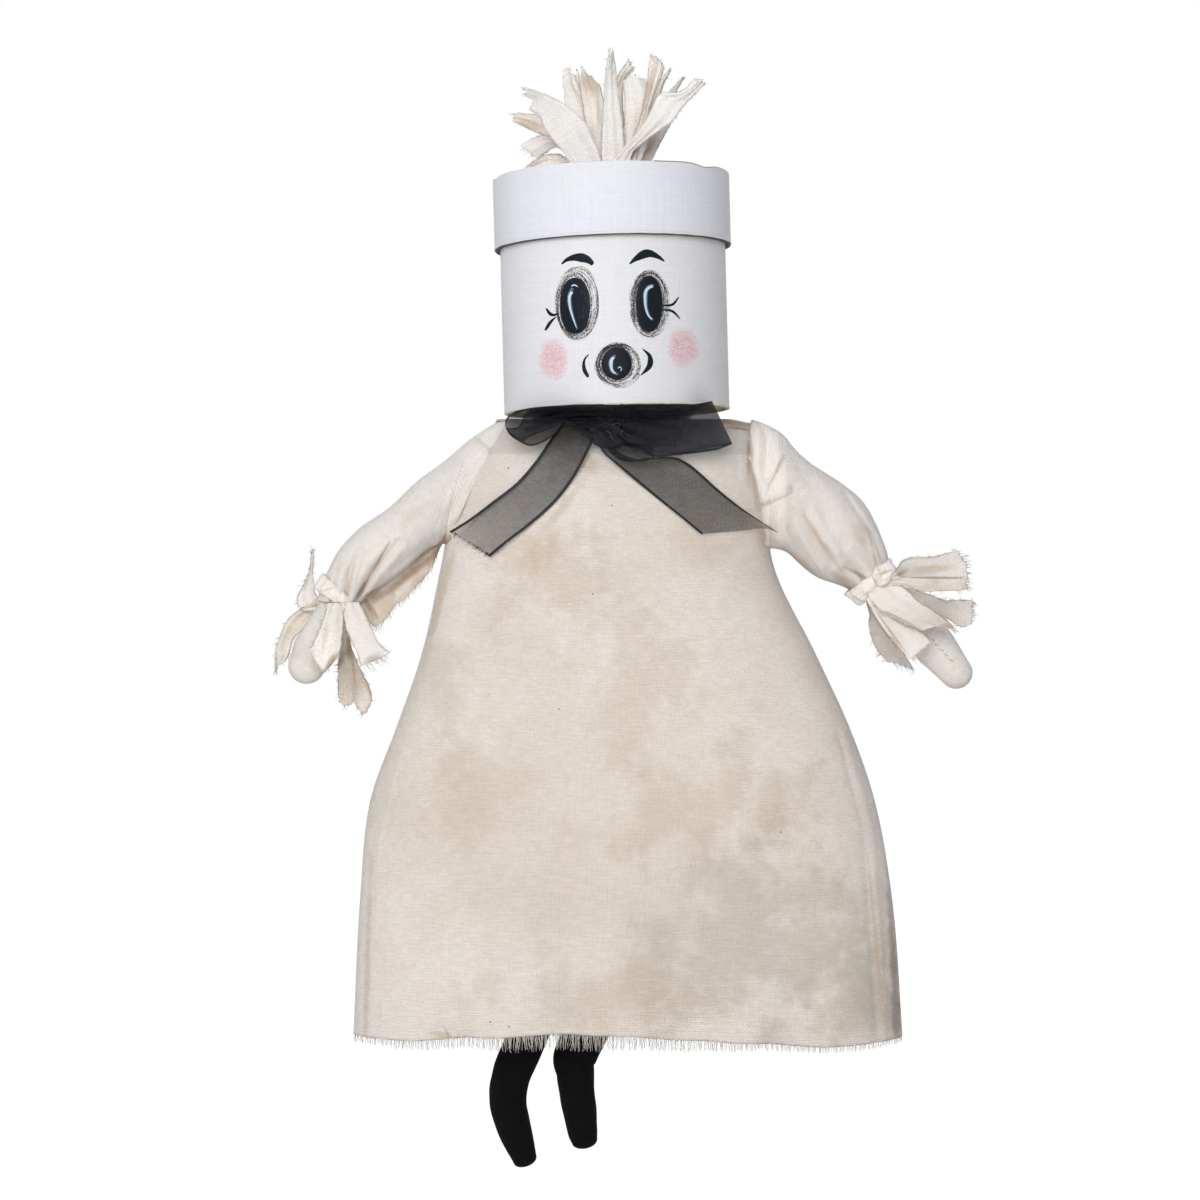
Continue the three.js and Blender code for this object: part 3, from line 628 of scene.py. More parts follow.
def finish(name):
    """One of the doll's finishes, made when it is first asked for."""
    known = bpy.data.materials.get(name)
    if known:
        return known
    tones = bpy.context.scene.art_doll_colours
    paper = Vector(tones.paper)
    rows = {
        "Muslin dress": (cloth_look, tones.muslin, tones.muslin_shade, 10.0, 0.3, 0.16, DRESS_STAINS_AND_SHADE),
        "Muslin sleeve": (cloth_look, (1.0, 0.937, 0.872), tones.muslin_shade, 14.0, 0.1, 0.12, SLEEVE_FOLD_SHADE),
        "Muslin strip": (cloth_look, (1.0, 0.938, 0.868), (0.93, 0.83, 0.72), 30.0, 0.25, 0.12, HAND_SHADE, 230.0),
        "Muslin strip in shade": (cloth_look, (0.95, 0.87, 0.78), (0.78, 0.63, 0.47), 60.0, 0.6, 0.15, HAND_SHADE),
        "Muslin hair": (cloth_look, (1.0, 0.955, 0.91), (0.95, 0.87, 0.78), 40.0, 0.3, 0.1, (), 230.0),
        "Muslin hair in shade": (cloth_look, (1.0, 0.93, 0.85), (0.9, 0.79, 0.66), 40.0, 0.4, 0.1,
                                 HAIR_SHADE, 230.0),
        "Muslin stuffed": (cloth_look, (1.0, 0.94, 0.875), (0.92, 0.82, 0.72), 34.0, 0.35, 0.2),
        "Muslin in deep shade": (cloth_look, (0.92, 0.82, 0.71), (0.72, 0.58, 0.44), 60.0, 0.6, 0.18, FLAP_SHADE),
        "Muslin thread": (cloth_look, (0.8, 0.75, 0.69), (0.62, 0.55, 0.47), 60.0, 0.6, 0.08),
        "Tan thread": (cloth_look, (0.6, 0.47, 0.34), (0.4, 0.29, 0.19), 60.0, 0.7, 0.1),
        "Brown thread": (cloth_look, (0.32, 0.22, 0.15), (0.2, 0.13, 0.09), 60.0, 0.5, 0.1),
        "Black thread": (black_look, (0.02, 0.02, 0.021)),
        # Grey threads that stand for glints of light on the knot: painted highlight.
        "Grey thread": (black_look, (0.12, 0.12, 0.14)),
        "Black cotton": (black_look, tones.legs),
        "Linen paper": (paper_look, paper),
        "Linen paper wall": (paper_look, paper * Vector((1.0, 0.99, 0.96))),
        "Raw board": (board_look, tones.board),
        "Pale board": (board_look, (0.78, 0.7, 0.6)),
        # A nearly black board: painted shadow under the lid's rim.
        "Board edge": (board_look, (0.1, 0.085, 0.075)),
        "Charcoal paint": (paint_look, tones.paint, 0.6),
        "Pale blue paint": (paint_look, tones.highlight, 0.25, 0.5),
        "Dull blue paint": (paint_look, (0.1, 0.125, 0.155), 0.8, 0.5),
        "Dry grey brush": (dry_look, (0.075, 0.062, 0.055), 0.56),
        # Lighter charcoal streaks on the eye: painted sheen along the brush marks.
        "Worn charcoal brush": (dry_look, (0.06, 0.066, 0.074), 0.5, 3200.0, 60.0),
        "Stippled pink": (stipple_look, tones.cheek),
        "Black organza": (organza_look, tones.organza, 0.55, 0.08, 0.16),
        "Black organza tail": (organza_look, tones.organza, 0.62, 0.08, 0.08),
        "Black organza gathered": (organza_look, (0.008, 0.0085, 0.013), 0.72, 0.24),
    }
    make, *values = rows[name]
    return make(name, *values)


TAN = (0.66, 0.5, 0.36)
SAND = (0.7, 0.575, 0.45)
GREY = (0.56, 0.5, 0.41)
BROWN = (0.42, 0.28, 0.17)
UMBER = (0.26, 0.21, 0.17)
# Each patch: its middle in the picture, half its size in mm, its turn in degrees, its tone, strength and breaks
# The broad sand and grey patches are stains in the dress; the thin tan and brown marks at the right shoulder's rolled
# edge, along the armhole seams, at the side edges, in the folds at the hem and under the sleeves' lower edges are
# painted shade.
DRESS_STAINS_AND_SHADE = (
    (600, 800, 150, 150, 0, SAND, 0.34, 1.0), (560, 575, 34, 24, -10, SAND, 0.5, 2.6),
    (545, 545, 12, 16, 30, TAN, 0.42, 2.0),
    (450, 700, 14, 34, 10, SAND, 0.42, 2.6), (478, 790, 26, 30, 20, SAND, 0.4, 3.0),
    (690, 800, 66, 30, -8, SAND, 0.5, 3.4), (770, 930, 74, 50, 10, GREY, 0.5, 2.6),
    (860, 990, 34, 30, 0, GREY, 0.5, 2.0), (560, 985, 60, 18, 4, SAND, 0.4, 3.2),
    (640, 690, 30, 44, 25, SAND, 0.3, 3.6), (440, 600, 3, 30, 15, TAN, 0.5, 1.0),
    (366, 980, 2, 70, 2, BROWN, 0.3, 0.8), (896, 980, 3, 60, -3, UMBER, 0.6, 0.8),
    (877, 950, 1.4, 70, -6, TAN, 0.5, 0.6), (446, 1034, 9, 2.4, 12, TAN, 0.7, 0.8),
    (458, 1037, 1.2, 5, 20, BROWN, 0.5, 0.5), (448, 1031, 1.0, 4, -30, BROWN, 0.4, 0.5),
    (584, 462, 9, 5, 30, TAN, 0.5, 1.6), (562, 510, 4, 16, 38, TAN, 0.5, 1.6),
    (738, 424, 12, 2.4, 6, BROWN, 0.62, 0.3), (738, 429, 10, 0.8, 6, BROWN, 0.8, 0.3),
    (748, 455, 1.6, 18, 0, BROWN, 0.6, 0.6), (753, 480, 3.0, 22, -10, BROWN, 0.4, 1.0),
    (762, 535, 4, 12, -20, TAN, 0.6, 1.0), (700, 548, 20, 12, 0, SAND, 0.35, 2.0),
)
# Painted shade: tan and brown lines in the sleeves' folds and puckers and along their seams, with two soft sand
# patches.
SLEEVE_FOLD_SHADE = (
    (484, 445, 10, 1.6, 40, TAN, 0.35, 1.0), (470, 512, 12, 2.4, -38, TAN, 0.4, 1.2),
    (500, 470, 3, 20, 35, TAN, 0.35, 1.4), (447, 541, 7, 4.5, -30, BROWN, 0.8, 0.8),
    (408, 570.5, 24, 1.3, -39, BROWN, 0.6, 0.7), (374, 591.5, 8, 1.2, -28, BROWN, 0.75, 0.5),
    (380.5, 558, 0.9, 11, 32, BROWN, 0.75, 0.3), (362, 588, 1.1, 8.5, 31, BROWN, 0.85, 0.3),
    (373, 571, 3.2, 14, 38, TAN, 0.35, 1.2), (352, 577, 1.2, 16, 12, TAN, 0.45, 0.8),
    (347, 588, 1.2, 9, 8, TAN, 0.5, 0.6), (326, 590, 8, 1.0, -14, TAN, 0.4, 0.6),
    (336, 603.3, 9, 1.0, 0, BROWN, 0.8, 0.4), (420, 512, 16, 4, -36, SAND, 0.2, 2.0),
    (750, 447, 1.4, 14, -4, BROWN, 0.55, 0.7), (775, 472, 1.4, 14, 24, TAN, 0.6, 0.8),
    (776, 500, 14, 1.5, -24, TAN, 0.55, 0.8), (758, 508, 1.6, 20, -8, TAN, 0.6, 0.8),
    (790, 440, 12, 1.6, 36, TAN, 0.3, 1.0), (815, 535, 1.4, 16, -32, TAN, 0.55, 0.8),
    (828, 553, 1.8, 14, -34, TAN, 0.45, 1.0), (856, 573, 9, 1.4, 26, BROWN, 0.6, 0.6),
    (873, 552, 1.1, 16, -14, TAN, 0.5, 0.7), (795, 560, 16, 3, 40, TAN, 0.5, 1.2),
    (860, 533, 7, 6, -20, SAND, 0.35, 1.6), (846, 583, 8, 3.5, 34, TAN, 0.6, 1.0),
    (884, 572, 6, 1.0, -20, BROWN, 0.5, 0.5),
)
# Painted shade: tan and brown marks where the cuff strips fold and lie under one another, with broad sand patches
# that warm the strips.
HAND_SHADE = (
    (333, 664, 3, 8, 30, BROWN, 0.8, 0.8), (346, 645, 2.4, 9, 4, BROWN, 0.75, 0.8),
    (349, 668, 1.2, 16, -6, TAN, 0.6, 0.7), (366, 688, 2.2, 12, -14, TAN, 0.6, 1.0),
    (376, 659, 7, 3.4, -18, BROWN, 0.6, 0.8), (300, 630, 1.6, 12, 38, BROWN, 0.6, 0.8),
    (287, 652, 2.2, 9, 24, BROWN, 0.6, 0.9), (314, 600, 4, 1.6, -20, TAN, 0.5, 0.8),
    (326, 640, 1.6, 9, 10, TAN, 0.35, 1.0), (935, 569, 16, 2.4, -6, TAN, 0.55, 1.0),
    (936, 577.5, 17, 0.8, 0, BROWN, 0.6, 0.5), (903, 575, 6, 1.4, -30, BROWN, 0.55, 0.6),
    (928, 607, 18, 0.8, 38, BROWN, 0.65, 0.4), (930, 587, 10, 1.8, 2, TAN, 0.35, 0.8),
    (898, 618.5, 15, 0.8, 27, BROWN, 0.65, 0.4), (890, 632.5, 0.8, 16, -36, BROWN, 0.65, 0.4),
    (945, 608, 12, 8, 0, SAND, 0.3, 1.0), (888, 648, 9, 12, 0, SAND, 0.3, 1.0),
    (945, 626, 8, 1.8, -14, TAN, 0.55, 0.8), (877, 634, 5, 3, 10, TAN, 0.35, 1.0),
)
# Painted shade: tan marks on the hair strips' shaded folds and where they lie under one another.
HAIR_SHADE = (
    (592, 84, 6, 8, -20, TAN, 0.7, 1.6), (598, 112, 1.2, 14, 0, BROWN, 0.3, 0.9),
    (648, 95, 2.2, 19, 14, TAN, 0.8, 0.6), (646, 146, 5, 13, 36, TAN, 0.9, 0.8),
    (634, 156, 3, 5, 36, BROWN, 0.5, 0.6), (624, 128, 1.8, 12, 6, TAN, 0.8, 0.8),
    (530, 163, 10, 4, -10, TAN, 0.6, 1.2), (528, 122, 9, 3.4, 20, TAN, 0.6, 1.0),
    (622, 76, 2.4, 7, 35, TAN, 0.5, 0.8), (654, 60, 4, 4, 0, GREY, 0.4, 1.0),
)
# Painted shade: brown along the flap where it lies under the sleeve.
FLAP_SHADE = (
    (404, 577, 24, 2.6, -39, BROWN, 0.7, 0.9), (440, 553, 8, 5, -40, BROWN, 0.7, 0.9),
    (366, 606, 1.4, 9, -24, BROWN, 0.65, 0.6), (372, 612, 1.2, 7, -30, BROWN, 0.55, 0.6),
    (376, 596, 7, 3, -28, BROWN, 0.6, 0.8), (405, 592, 16, 1.6, -45, TAN, 0.4, 1.2),
)


# Gift box

def dented(x, y, z):
    """The lid's worn upper edge."""
    turn = math.degrees(math.atan2(x, -y))
    edge = ease(118.0, 123.5, z) * ease(55.0, 61.0, math.hypot(x, y))
    dip = 1.3 * math.exp(-((turn - 50.0) / 6.0) ** 2) + 0.9 * math.exp(-((turn + 74.0) / 5.0) ** 2)
    wave = 0.35 * noise.noise(Vector((x / 22, y / 22, 3.0)))
    return x, y, z - edge * dip + edge * wave


def uneven(x, y, z):
    """Board that isn't quite round."""
    grow = 1 + 0.0025 * noise.noise(Vector((x / 40, y / 40, z / 60)))
    return x * grow, y * grow, z


def rough_edge(size, seed):
    """Shapes a raw edge: it waves up and down by a quarter of a millimetre."""
    return lambda x, y, z: (x, y, z + 0.25 * noise.noise(Vector((x / size, y / size, seed))))


def worn(x, y, z):
    return dented(*uneven(x, y, z))


def build_box():
    pieces = [
        ("paper_wall", "head", "white_board", "Linen paper wall", ["box_wall"], 160, 0.35, uneven,
         [[58, 0], [60, 0], [60, 122], [58, 122]]),
        ("wall_raw_edge", "head", "raw_board", "Pale board", [], 200, 0.0, rough_edge(3, 5),
         [[57.9, -0.2], [59.9, -0.2], [60.15, 0.1], [60.1, 0.6], [57.9, 0.5]]),
        ("board_floor", "head", "raw_board", "Raw board", ["box_floor"], 96, 0.25, None,
         [[7.3, 0.3], [57.7, 0.3], [57.7, 2.3], [7.3, 2.3]]),
        ("paper_lid_rim", "lid", "white_board", "Linen paper", ["lid_rim"], 160, 0.45, worn,
         [[60.8, 87.5], [63, 87.5], [63, 124.5], [60.8, 124.5]]),
        ("lid_turned_paper", "lid", "white_board", "Linen paper", [], 160, 0.0, rough_edge(9, 1),
         [[60.9, 87.2], [63.05, 87.15], [63.25, 87.9], [63.1, 88.6], [61.0, 88.2]]),
        # A nearly black ring of board at the lid's lower edge: the raw edge, painted dark as the shadow under the
        # lid.
        ("lid_edge_painted_shadow", "lid", "raw_board", "Board edge", [], 160, 0.0, rough_edge(9, 1),
         [[60.5, 86.75], [62.7, 86.75], [62.95, 87.2], [60.5, 87.25]]),
        ("paper_lid_top", "lid", "white_board", "Linen paper", ["lid_top"], 128, 0.3, worn,
         [[12, 122.3], [60.75, 122.3], [60.75, 124.6], [12, 124.4]]),
    ]
    for name, body, slot, look, nodes, steps, bevel, shape, profile in pieces:
        dress_piece(spun(name, profile, steps, bevel, shape), body, finish(look), nodes)
    turns = [math.radians(mix(20, 84, k / 40)) for k in range(41)]
    crease = [HEAD @ Vector(dented(63.05 * math.sin(t), -63.05 * math.cos(t), 124.5)) for t in turns]
    dress_piece(threads("lid_edge_crease", [crease], 0.5, 40), "lid", finish("Brown thread"))


# Painted face

WALL = 60.0


def on_wall(px, py, lift):
    """The spot of the box's wall that the picture shows there, lifted off it."""
    inside = HEAD.inverted()
    start = inside @ EYE
    way = inside.to_3x3() @ Vector(((px - 600) * PIXEL, 1.0, (600 - py) * PIXEL))
    radius = WALL + lift
    a = way.x**2 + way.y**2
    b = start.x * way.x + start.y * way.y
    c = start.x**2 + start.y**2 - radius**2
    inner = b * b - a * c
    if inner < 0:
        raise ValueError(f"the spot {px}, {py} isn't on the box")
    reach = (-b - math.sqrt(inner)) / a
    return HEAD @ (start + way * reach)


def daub(name, outline, look, lift, rings=5):
    """A painted shape from its outline; its chart runs round it and outwards."""
    line = path([*outline, outline[0]])
    middle = sum((Vector(p) for p in outline), Vector((0, 0))) / len(outline)

    def place(u, v):
        spot = middle.lerp(line(u), v)
        return on_wall(spot.x, spot.y, lift if v < 0.999 else -0.05)

    return dress_piece(formed(name, 48, rings, place, (1.0, 1.0), closed=True), "head", look)


def stroke(name, line, widths, look, lift, steps):
    """A brush stroke along a line, with its widths in picture points."""
    run = path(line)
    wide = path([(k / (len(widths) - 1), w) for k, w in enumerate(widths)])
    long = sum(math.dist(a, b) for a, b in zip(line, line[1:])) * POINT

    def place(u, v):
        ahead = run(min(v + 0.02, 1)) - run(max(v - 0.02, 0))
        ahead.normalize()
        side = (u - 0.5) * wide(v).y
        spot = run(v) + Vector((-ahead.y, ahead.x)) * side
        edge = min(u, 1 - u, v, 1 - v) < 0.001
        return on_wall(spot.x, spot.y, -0.05 if edge else lift)

    return dress_piece(formed(name, 4, steps, place, (1.0, long)), "head", look)


def oval(cx, cy, rx, ry, wobble, seed):
    found = []
    for k in range(16):
        x, y = math.cos(math.pi * k / 8), math.sin(math.pi * k / 8)
        grow = 1 + wobble * noise.noise(Vector((x * 2, y * 2, seed)))
        found.append((cx + rx * x * grow, cy + ry * y * grow))
    return found


def scribbles(name, shape, halo, loops, seed):
    """Dry-brush rings scribbled from a painted shape's edge out to its halo's, joined in one piece."""
    (cx, cy, rx, ry), (hcx, hcy, hx, hy) = shape, halo
    rng = random.Random(seed)
    mesh = bmesh.new()
    chart = mesh.loops.layers.uv.new("UVMap")
    for order in range(loops):
        out = rng.uniform(0.0, 1.0) ** 1.5
        wide = rng.uniform(0.6, 1.5)
        start = rng.uniform(0, 2 * math.pi)
        sweep = rng.uniform(2.2, 6.0)
        dx, dy = rng.uniform(-1.0, 1.0), rng.uniform(-1.2, 1.2)
        shift = rng.uniform(0, 0.5)
        for vert in add_grid(mesh, chart, 2, 40, lambda u, v: (u * MM, v * sweep * 0.012 + shift)):
            u, v = vert.co.x, vert.co.y + 0.5
            angle = start + sweep * v
            waver = 0.03 * math.sin(3 * angle + order)
            x = (mix(rx, hx, out) + rx * waver + u * wide) * math.cos(angle) + dx
            y = (mix(ry, hy, out) + ry * waver + u * wide) * math.sin(angle) + dy
            vert.co = on_wall(mix(cx, hcx, out) + x, mix(cy, hcy, out) + y, 0.03 + 0.006 * order) * MM
    return placed(mesh, name)


def squared(cx, cy, rx, ry):
    """An eye's outline, a little squarer than an oval."""
    turns = [2 * math.pi * k / 24 for k in range(24)]
    return [(cx + rx * power(math.cos(t), 2 / 2.35), cy + ry * power(math.sin(t), 2 / 2.15)) for t in turns]


# By finish, lift off the paper and steps: each stroke's name, line and widths, in picture points
FACE_STROKES = {
    ("Charcoal paint", 0.16, 20): [
        ("brow_left", [(561, 264.6), (567, 259.6), (578, 257.2), (587.5, 259.6), (593.6, 264.6)],
         [1.4, 8.0, 10.6, 11.0, 4.4]),
        ("brow_right", [(629.2, 264.2), (635.5, 258.9), (647.5, 253.3), (656.8, 256), (664.8, 261.4)],
         [1.4, 9.4, 8.8, 7.6, 1.4]),
        ("crease_left", [(589.2, 353.6), (584.4, 360), (584.2, 369), (588.6, 377.6)], [1.0, 3.6, 5.2, 3.4]),
        ("crease_right", [(642.2, 348.6), (649.6, 356), (649.8, 365), (640.6, 375.6)], [0.8, 4.4, 6.4, 0.8]),
    ],
    ("Charcoal paint", 0.3, 12): [
        ("lash_left_1", [(558.8, 312.7), (554, 315), (550.2, 313.8), (545.9, 307.9)], [1.6, 3.2, 3.8, 1.6]),
        ("lash_left_2", [(556.4, 316.4), (551, 321.5), (545, 330.5)], [1.2, 3.6, 2.2]),
        ("lash_right_1", [(662, 305.4), (672.6, 304.4), (679, 296.6)], [1.4, 2.8, 1.2]),
        ("lash_right_2", [(662, 309.6), (672, 311), (680.4, 319)], [1.4, 2.8, 1.2]),
    ],
    ("Dull blue paint", 0.39, 20): [
        ("eye_glow_left", [(573.5, 286), (569.6, 295), (569.6, 303), (572, 314), (575.4, 324), (578, 331)],
         [5.0, 8.0, 6.4, 5.0, 4.4, 2.4]),
        ("eye_glow_right",
         [(656, 285.6), (649, 286.6), (646, 291.4), (645.4, 298), (646.2, 308), (649, 315.6), (654.4, 321.4)],
         [5.0, 8.6, 8.0, 7.0, 6.0, 5.6, 3.0]),
        ("nose_glow", [(616.4, 354.4), (611.4, 359.5), (611, 366), (612.8, 371.5), (619.2, 375)],
         [4.0, 8.6, 8.4, 7.0, 3.0]),
    ],
    # Lighter streaks along the left eye's brush marks: painted sheen.
    ("Worn charcoal brush", 0.4, 20): [
        ("eye_streak_1", [(584.5, 292), (586.6, 303), (586, 320)], [0.8, 2.6, 0.8]),
        ("eye_streak_2", [(581, 288), (583.2, 304), (582, 326)], [0.8, 2.6, 0.8]),
        ("eye_streak_3", [(577.6, 296), (579.4, 308), (578.8, 322)], [0.8, 2.6, 0.8]),
        ("eye_streak_4", [(588, 298), (588.6, 306), (587.4, 314)], [0.8, 2.6, 0.8]),
    ],
    ("Pale blue paint", 0.42, 20): [
        ("eye_light_left", [(572.8, 290), (569.6, 296), (569.4, 303), (571.4, 313), (574.4, 322), (577, 329)],
         [5.2, 5.4, 4.0, 3.0, 2.4, 1.4]),
        ("eye_light_left_top", [(571, 286), (574.5, 285), (578, 286.8)], [1.6, 2.6, 1.2]),
        ("eye_light_right",
         [(654.6, 286), (649.6, 287), (646, 291), (645.2, 298), (645.9, 308), (648.6, 315.6), (653.4, 320.4)],
         [4.4, 5.4, 4.6, 4.2, 3.8, 3.6, 2.2]),
        ("nose_light", [(614.6, 356.4), (611.6, 360), (611, 365.5), (612.4, 370.5), (616.2, 374)],
         [4.0, 6.0, 5.6, 4.6, 2.4]),
        ("nose_light_small", [(617.6, 368.5), (619.8, 366.8), (621.6, 369), (620.2, 371.4)], [1.0, 1.5, 1.5, 0.8]),
    ],
}


def build_face():
    dark, pink = finish("Charcoal paint"), finish("Stippled pink")
    left, right, nose = (575, 305.8, 15.8, 29.6), (649.3, 303.9, 13.6, 28.6), (616.6, 363.4, 15.4, 16.6)
    rings = [("halo_left", left, (577.4, 303.4, 21.6, 36.4), 36, 9),
             ("halo_right", right, (649.4, 303.6, 20.3, 34.2), 36, 10),
             ("halo_nose", nose, (618.6, 364.6, 23.2, 22.0), 40, 31)]
    for name, shape, halo, loops, seed in rings:
        dress_piece(scribbles(name, shape, halo, loops, seed), "head", finish("Dry grey brush"))
    daub("eye_left", squared(*left), dark, 0.34)
    daub("eye_right", squared(*right), dark, 0.34)
    daub("nose", oval(616.6, 363.4, 15.6, 17.0, 0.08, 4), dark, 0.34)
    for (look, lift, steps), strokes in FACE_STROKES.items():
        for name, line, widths in strokes:
            stroke(name, line, widths, finish(look), lift, steps)
    daub("cheek_left", oval(553.4, 359, 17.8, 24.4, 0.2, 1), pink, 0.05, 8)
    daub("cheek_right", oval(683, 348, 18, 23.6, 0.2, 2), pink, 0.05, 8)


# Hair

# Front to back: left edge and right edge from base to tip, the torn end, curl in mm, and whether it is in shade
HAIR_ROWS = [
    ([(571, 165), (562, 151), (551, 138), (544, 127), (539, 115), (530, 109), (534, 101), (524, 94.5)],
     [(603, 165), (594, 142), (583, 119), (566, 105), (551, 97), (536, 91), (523.4, 88.2)],
     [(524, 94.5), (528, 94), (523.4, 88.2)], 3.0, False),
    ([(608, 165), (619, 153), (632, 138), (646, 120), (654, 102), (663, 92), (672, 92.5), (679, 92), (695, 79)],
     [(630, 165), (632, 153), (642, 143), (660, 130), (672.5, 121), (683, 107), (695.7, 93), (703, 86)],
     [(695, 79), (699, 82), (703.5, 79), (701, 82.5), (705, 84), (703, 86)], 3.0, False),
    ([(601, 165), (602.5, 122), (604, 91), (606.5, 67), (608.6, 49)],
     [(625, 165), (622.5, 122), (619.8, 103), (617.2, 82), (615.5, 66), (613, 50)],
     [(608.6, 49), (610, 47), (611, 62), (612, 49.5), (613, 50)], 2.5, False),
    ([(620, 165), (632, 140), (641, 112), (646.5, 87), (648.4, 68), (650, 55)],
     [(634, 165), (641, 140), (650, 108), (657, 88), (661, 78), (664, 66)],
     [(650, 55), (656.5, 57), (664, 66)], 2.5, True),
    ([(608, 165), (622.5, 135), (624.4, 115.7), (624, 91), (623, 82)],
     [(640, 165), (648, 140), (652, 112), (650, 95), (645.4, 79.7)],
     [(623, 82), (628.5, 77.5), (637, 76.5), (645.4, 79.7)], 3.0, False),
    ([(576, 162), (566, 157), (556, 153.7), (543.6, 155.5), (533, 161.6), (523, 169.5)],
     [(576, 169), (560, 168.5), (545, 169), (533, 171), (524, 173)], None, 2.0, True),
    ([(584, 165), (586, 130), (583, 105), (580, 88), (577, 70)],
     [(607, 165), (607, 130), (604, 103), (600, 85)],
     [(577, 70), (581, 78), (582, 65), (587, 75), (591, 76), (600, 85)], 2.5, True),
    ([(586, 152), (566, 141), (551, 136), (540.5, 135.6), (521.4, 144.8)],
     [(590, 166), (572, 157), (556, 147), (547, 151.5), (537.5, 158.6)],
     [(521.4, 144.8), (526, 150), (537.5, 158.6)], 2.0, False),
    ([(576, 165), (574, 140), (566, 112), (564.5, 95), (563.7, 75), (566, 67.5)],
     [(604, 165), (598, 130), (588, 100), (579, 85), (576.5, 76)],
     [(566, 67.5), (569.6, 70.6), (572, 77), (576.5, 76)], 2.5, False),
    ([(588, 150), (565, 128), (549, 119), (536, 115), (512, 112.7)],
     [(594, 166), (567, 148), (548, 137.5), (528, 128), (512.7, 121)],
     [(512, 112.7), (516, 117), (512.7, 121)], 2.0, True),
    ([(604, 165), (609, 120), (613, 92), (617.8, 76), (628.5, 58.3)],
     [(624, 165), (624, 120), (623, 90), (626, 78), (634.6, 69.8)],
     [(628.5, 58.3), (631, 65), (634.6, 69.8)], 2.0, True),
    ([(624, 165), (640, 138), (658, 108), (669, 92), (682, 77.5)],
     [(650, 165), (661, 142), (672, 122), (677, 106), (676, 93), (684, 79)], None, 2.0, True),
    ([(614, 165), (634, 130), (652, 98), (661, 80), (669, 70)],
     [(632, 165), (648, 130), (659, 100), (664, 84), (670.5, 71)], None, 2.0, True),
]


def strip_spot(left, right, end, seed):
    """Where the torn cloth between two edges of the picture is, at u across and v along it."""
    first, second = path(left), path(right)
    close = path(end, bent=False) if end else None

    def spot(u, v):
        a, b = first(v), second(v)
        here = a.lerp(b, u)
        if close:
            here += (close(u) - first(1).lerp(second(1), u)) * ease(0.62, 1.0, v)
        away = (b - a).normalized() if (b - a).length > 0.01 else Vector((0, 0))
        torn = [0.8 * noise.noise(Vector((v * 14, seed, side))) + 0.72 * noise.noise(Vector((v * 40, seed, side)))
                for side in (0.3, 7.3)]
        here += away * (torn[0] * (1 - u) + torn[1] * u)
        along = (first(1) - first(0.94)).normalized()
        return here + along * (2.08 * ease(0.9, 1.0, v) * noise.noise(Vector((u * 11, seed, 4.4))))

    return spot


def area_of(piece):
    return sum(face.area for face in piece.data.polygons)


def strip_frays(name, place, count, seed, long, tip, bare=0.25):
    """Loose threads along a strip's two torn sides and its end."""
    rng = random.Random(seed)
    runs = []
    for k in range(count + tip):
        if k < count:
            u, v = rng.choice((0.0, 1.0)), rng.uniform(bare, 1.0)
            root = Vector(place(abs(u - 0.03), v))
            out = Vector(place(u, v)) - Vector(place(abs(u - 0.18), v))
        else:
            u, v = rng.uniform(0.05, 0.95), 1.0
            root = Vector(place(u, 0.985))
            out = Vector(place(u, 1.0)) - Vector(place(u, 0.93))
        out = out.normalized() if out.length > 1e-5 else Vector((0, 0, 1))
        along = Vector(place(abs(u - 0.02), 1.0)) - Vector(place(abs(u - 0.02), 0.9))
        out = (out + along.normalized() * rng.uniform(-0.2, 0.9)).normalized()
        reach = long * rng.uniform(0.35, 1.0) * (1.3 if k >= count else 0.8)
        sag = Vector((rng.uniform(-0.6, 0.6), rng.uniform(-0.5, 0.5), rng.uniform(-0.7, 0.3)))
        runs.append(wisp(root, out, sag, reach, 0.35))
    return threads(name, runs, 0.46)


def torn_edges(name, place, seed, wide, bare=0.2):
    """The threads that come loose along a strip's two torn sides."""
    rng = random.Random(seed)
    runs = []
    for side in (0.0, 1.0):
        start = bare
        while start < 0.9:
            end = min(start + rng.uniform(0.12, 0.3), 0.95)
            shift = rng.uniform(-0.02, 0.02)
            runs.append([Vector(place(clamp(abs(side - 0.012) + shift), mix(start, end, t))) + Vector((0, -0.7, 0))
                         for t in (0, 0.33, 0.67, 1)])
            start = end - rng.uniform(0.0, 0.05)
    return threads(name, runs, wide, 8)


def strip_size(left, right, count):
    """How wide and long a strip is in mm, from its edges in the picture."""
    gaps = [math.dist(a, b) for a, b in zip(left[1:], right[1:])]
    return sum(gaps) / (count - 1) * POINT, math.dist(left[0], left[-1]) * 0.56


def torn_strip(kind, label, body, node_name, grid, flat, place, look, edge_look, fray, edge):
    """A torn strip with its loose threads and edges; it reckons the strip's area and width but keeps neither."""
    piece = formed(kind + "_torn_strip_" + label, *grid, place, flat)
    thick(piece, sizes().strip)
    dress_piece(piece, body, look, [node_name])
    frays = strip_frays(kind + "_threads_" + label, place, *fray)
    dress_piece(frays, body, finish("Muslin thread"))
    edges = torn_edges(kind + "_torn_edge_" + label, place, *edge)
    dress_piece(edges, body, edge_look)
    area, long = area_of(piece), max(flat[1], LEAST) * MM
    wide = max(area / long, LEAST * MM)
    max(area, 0.31 * wide * long)


HAIR_ROOT = (607, 166)


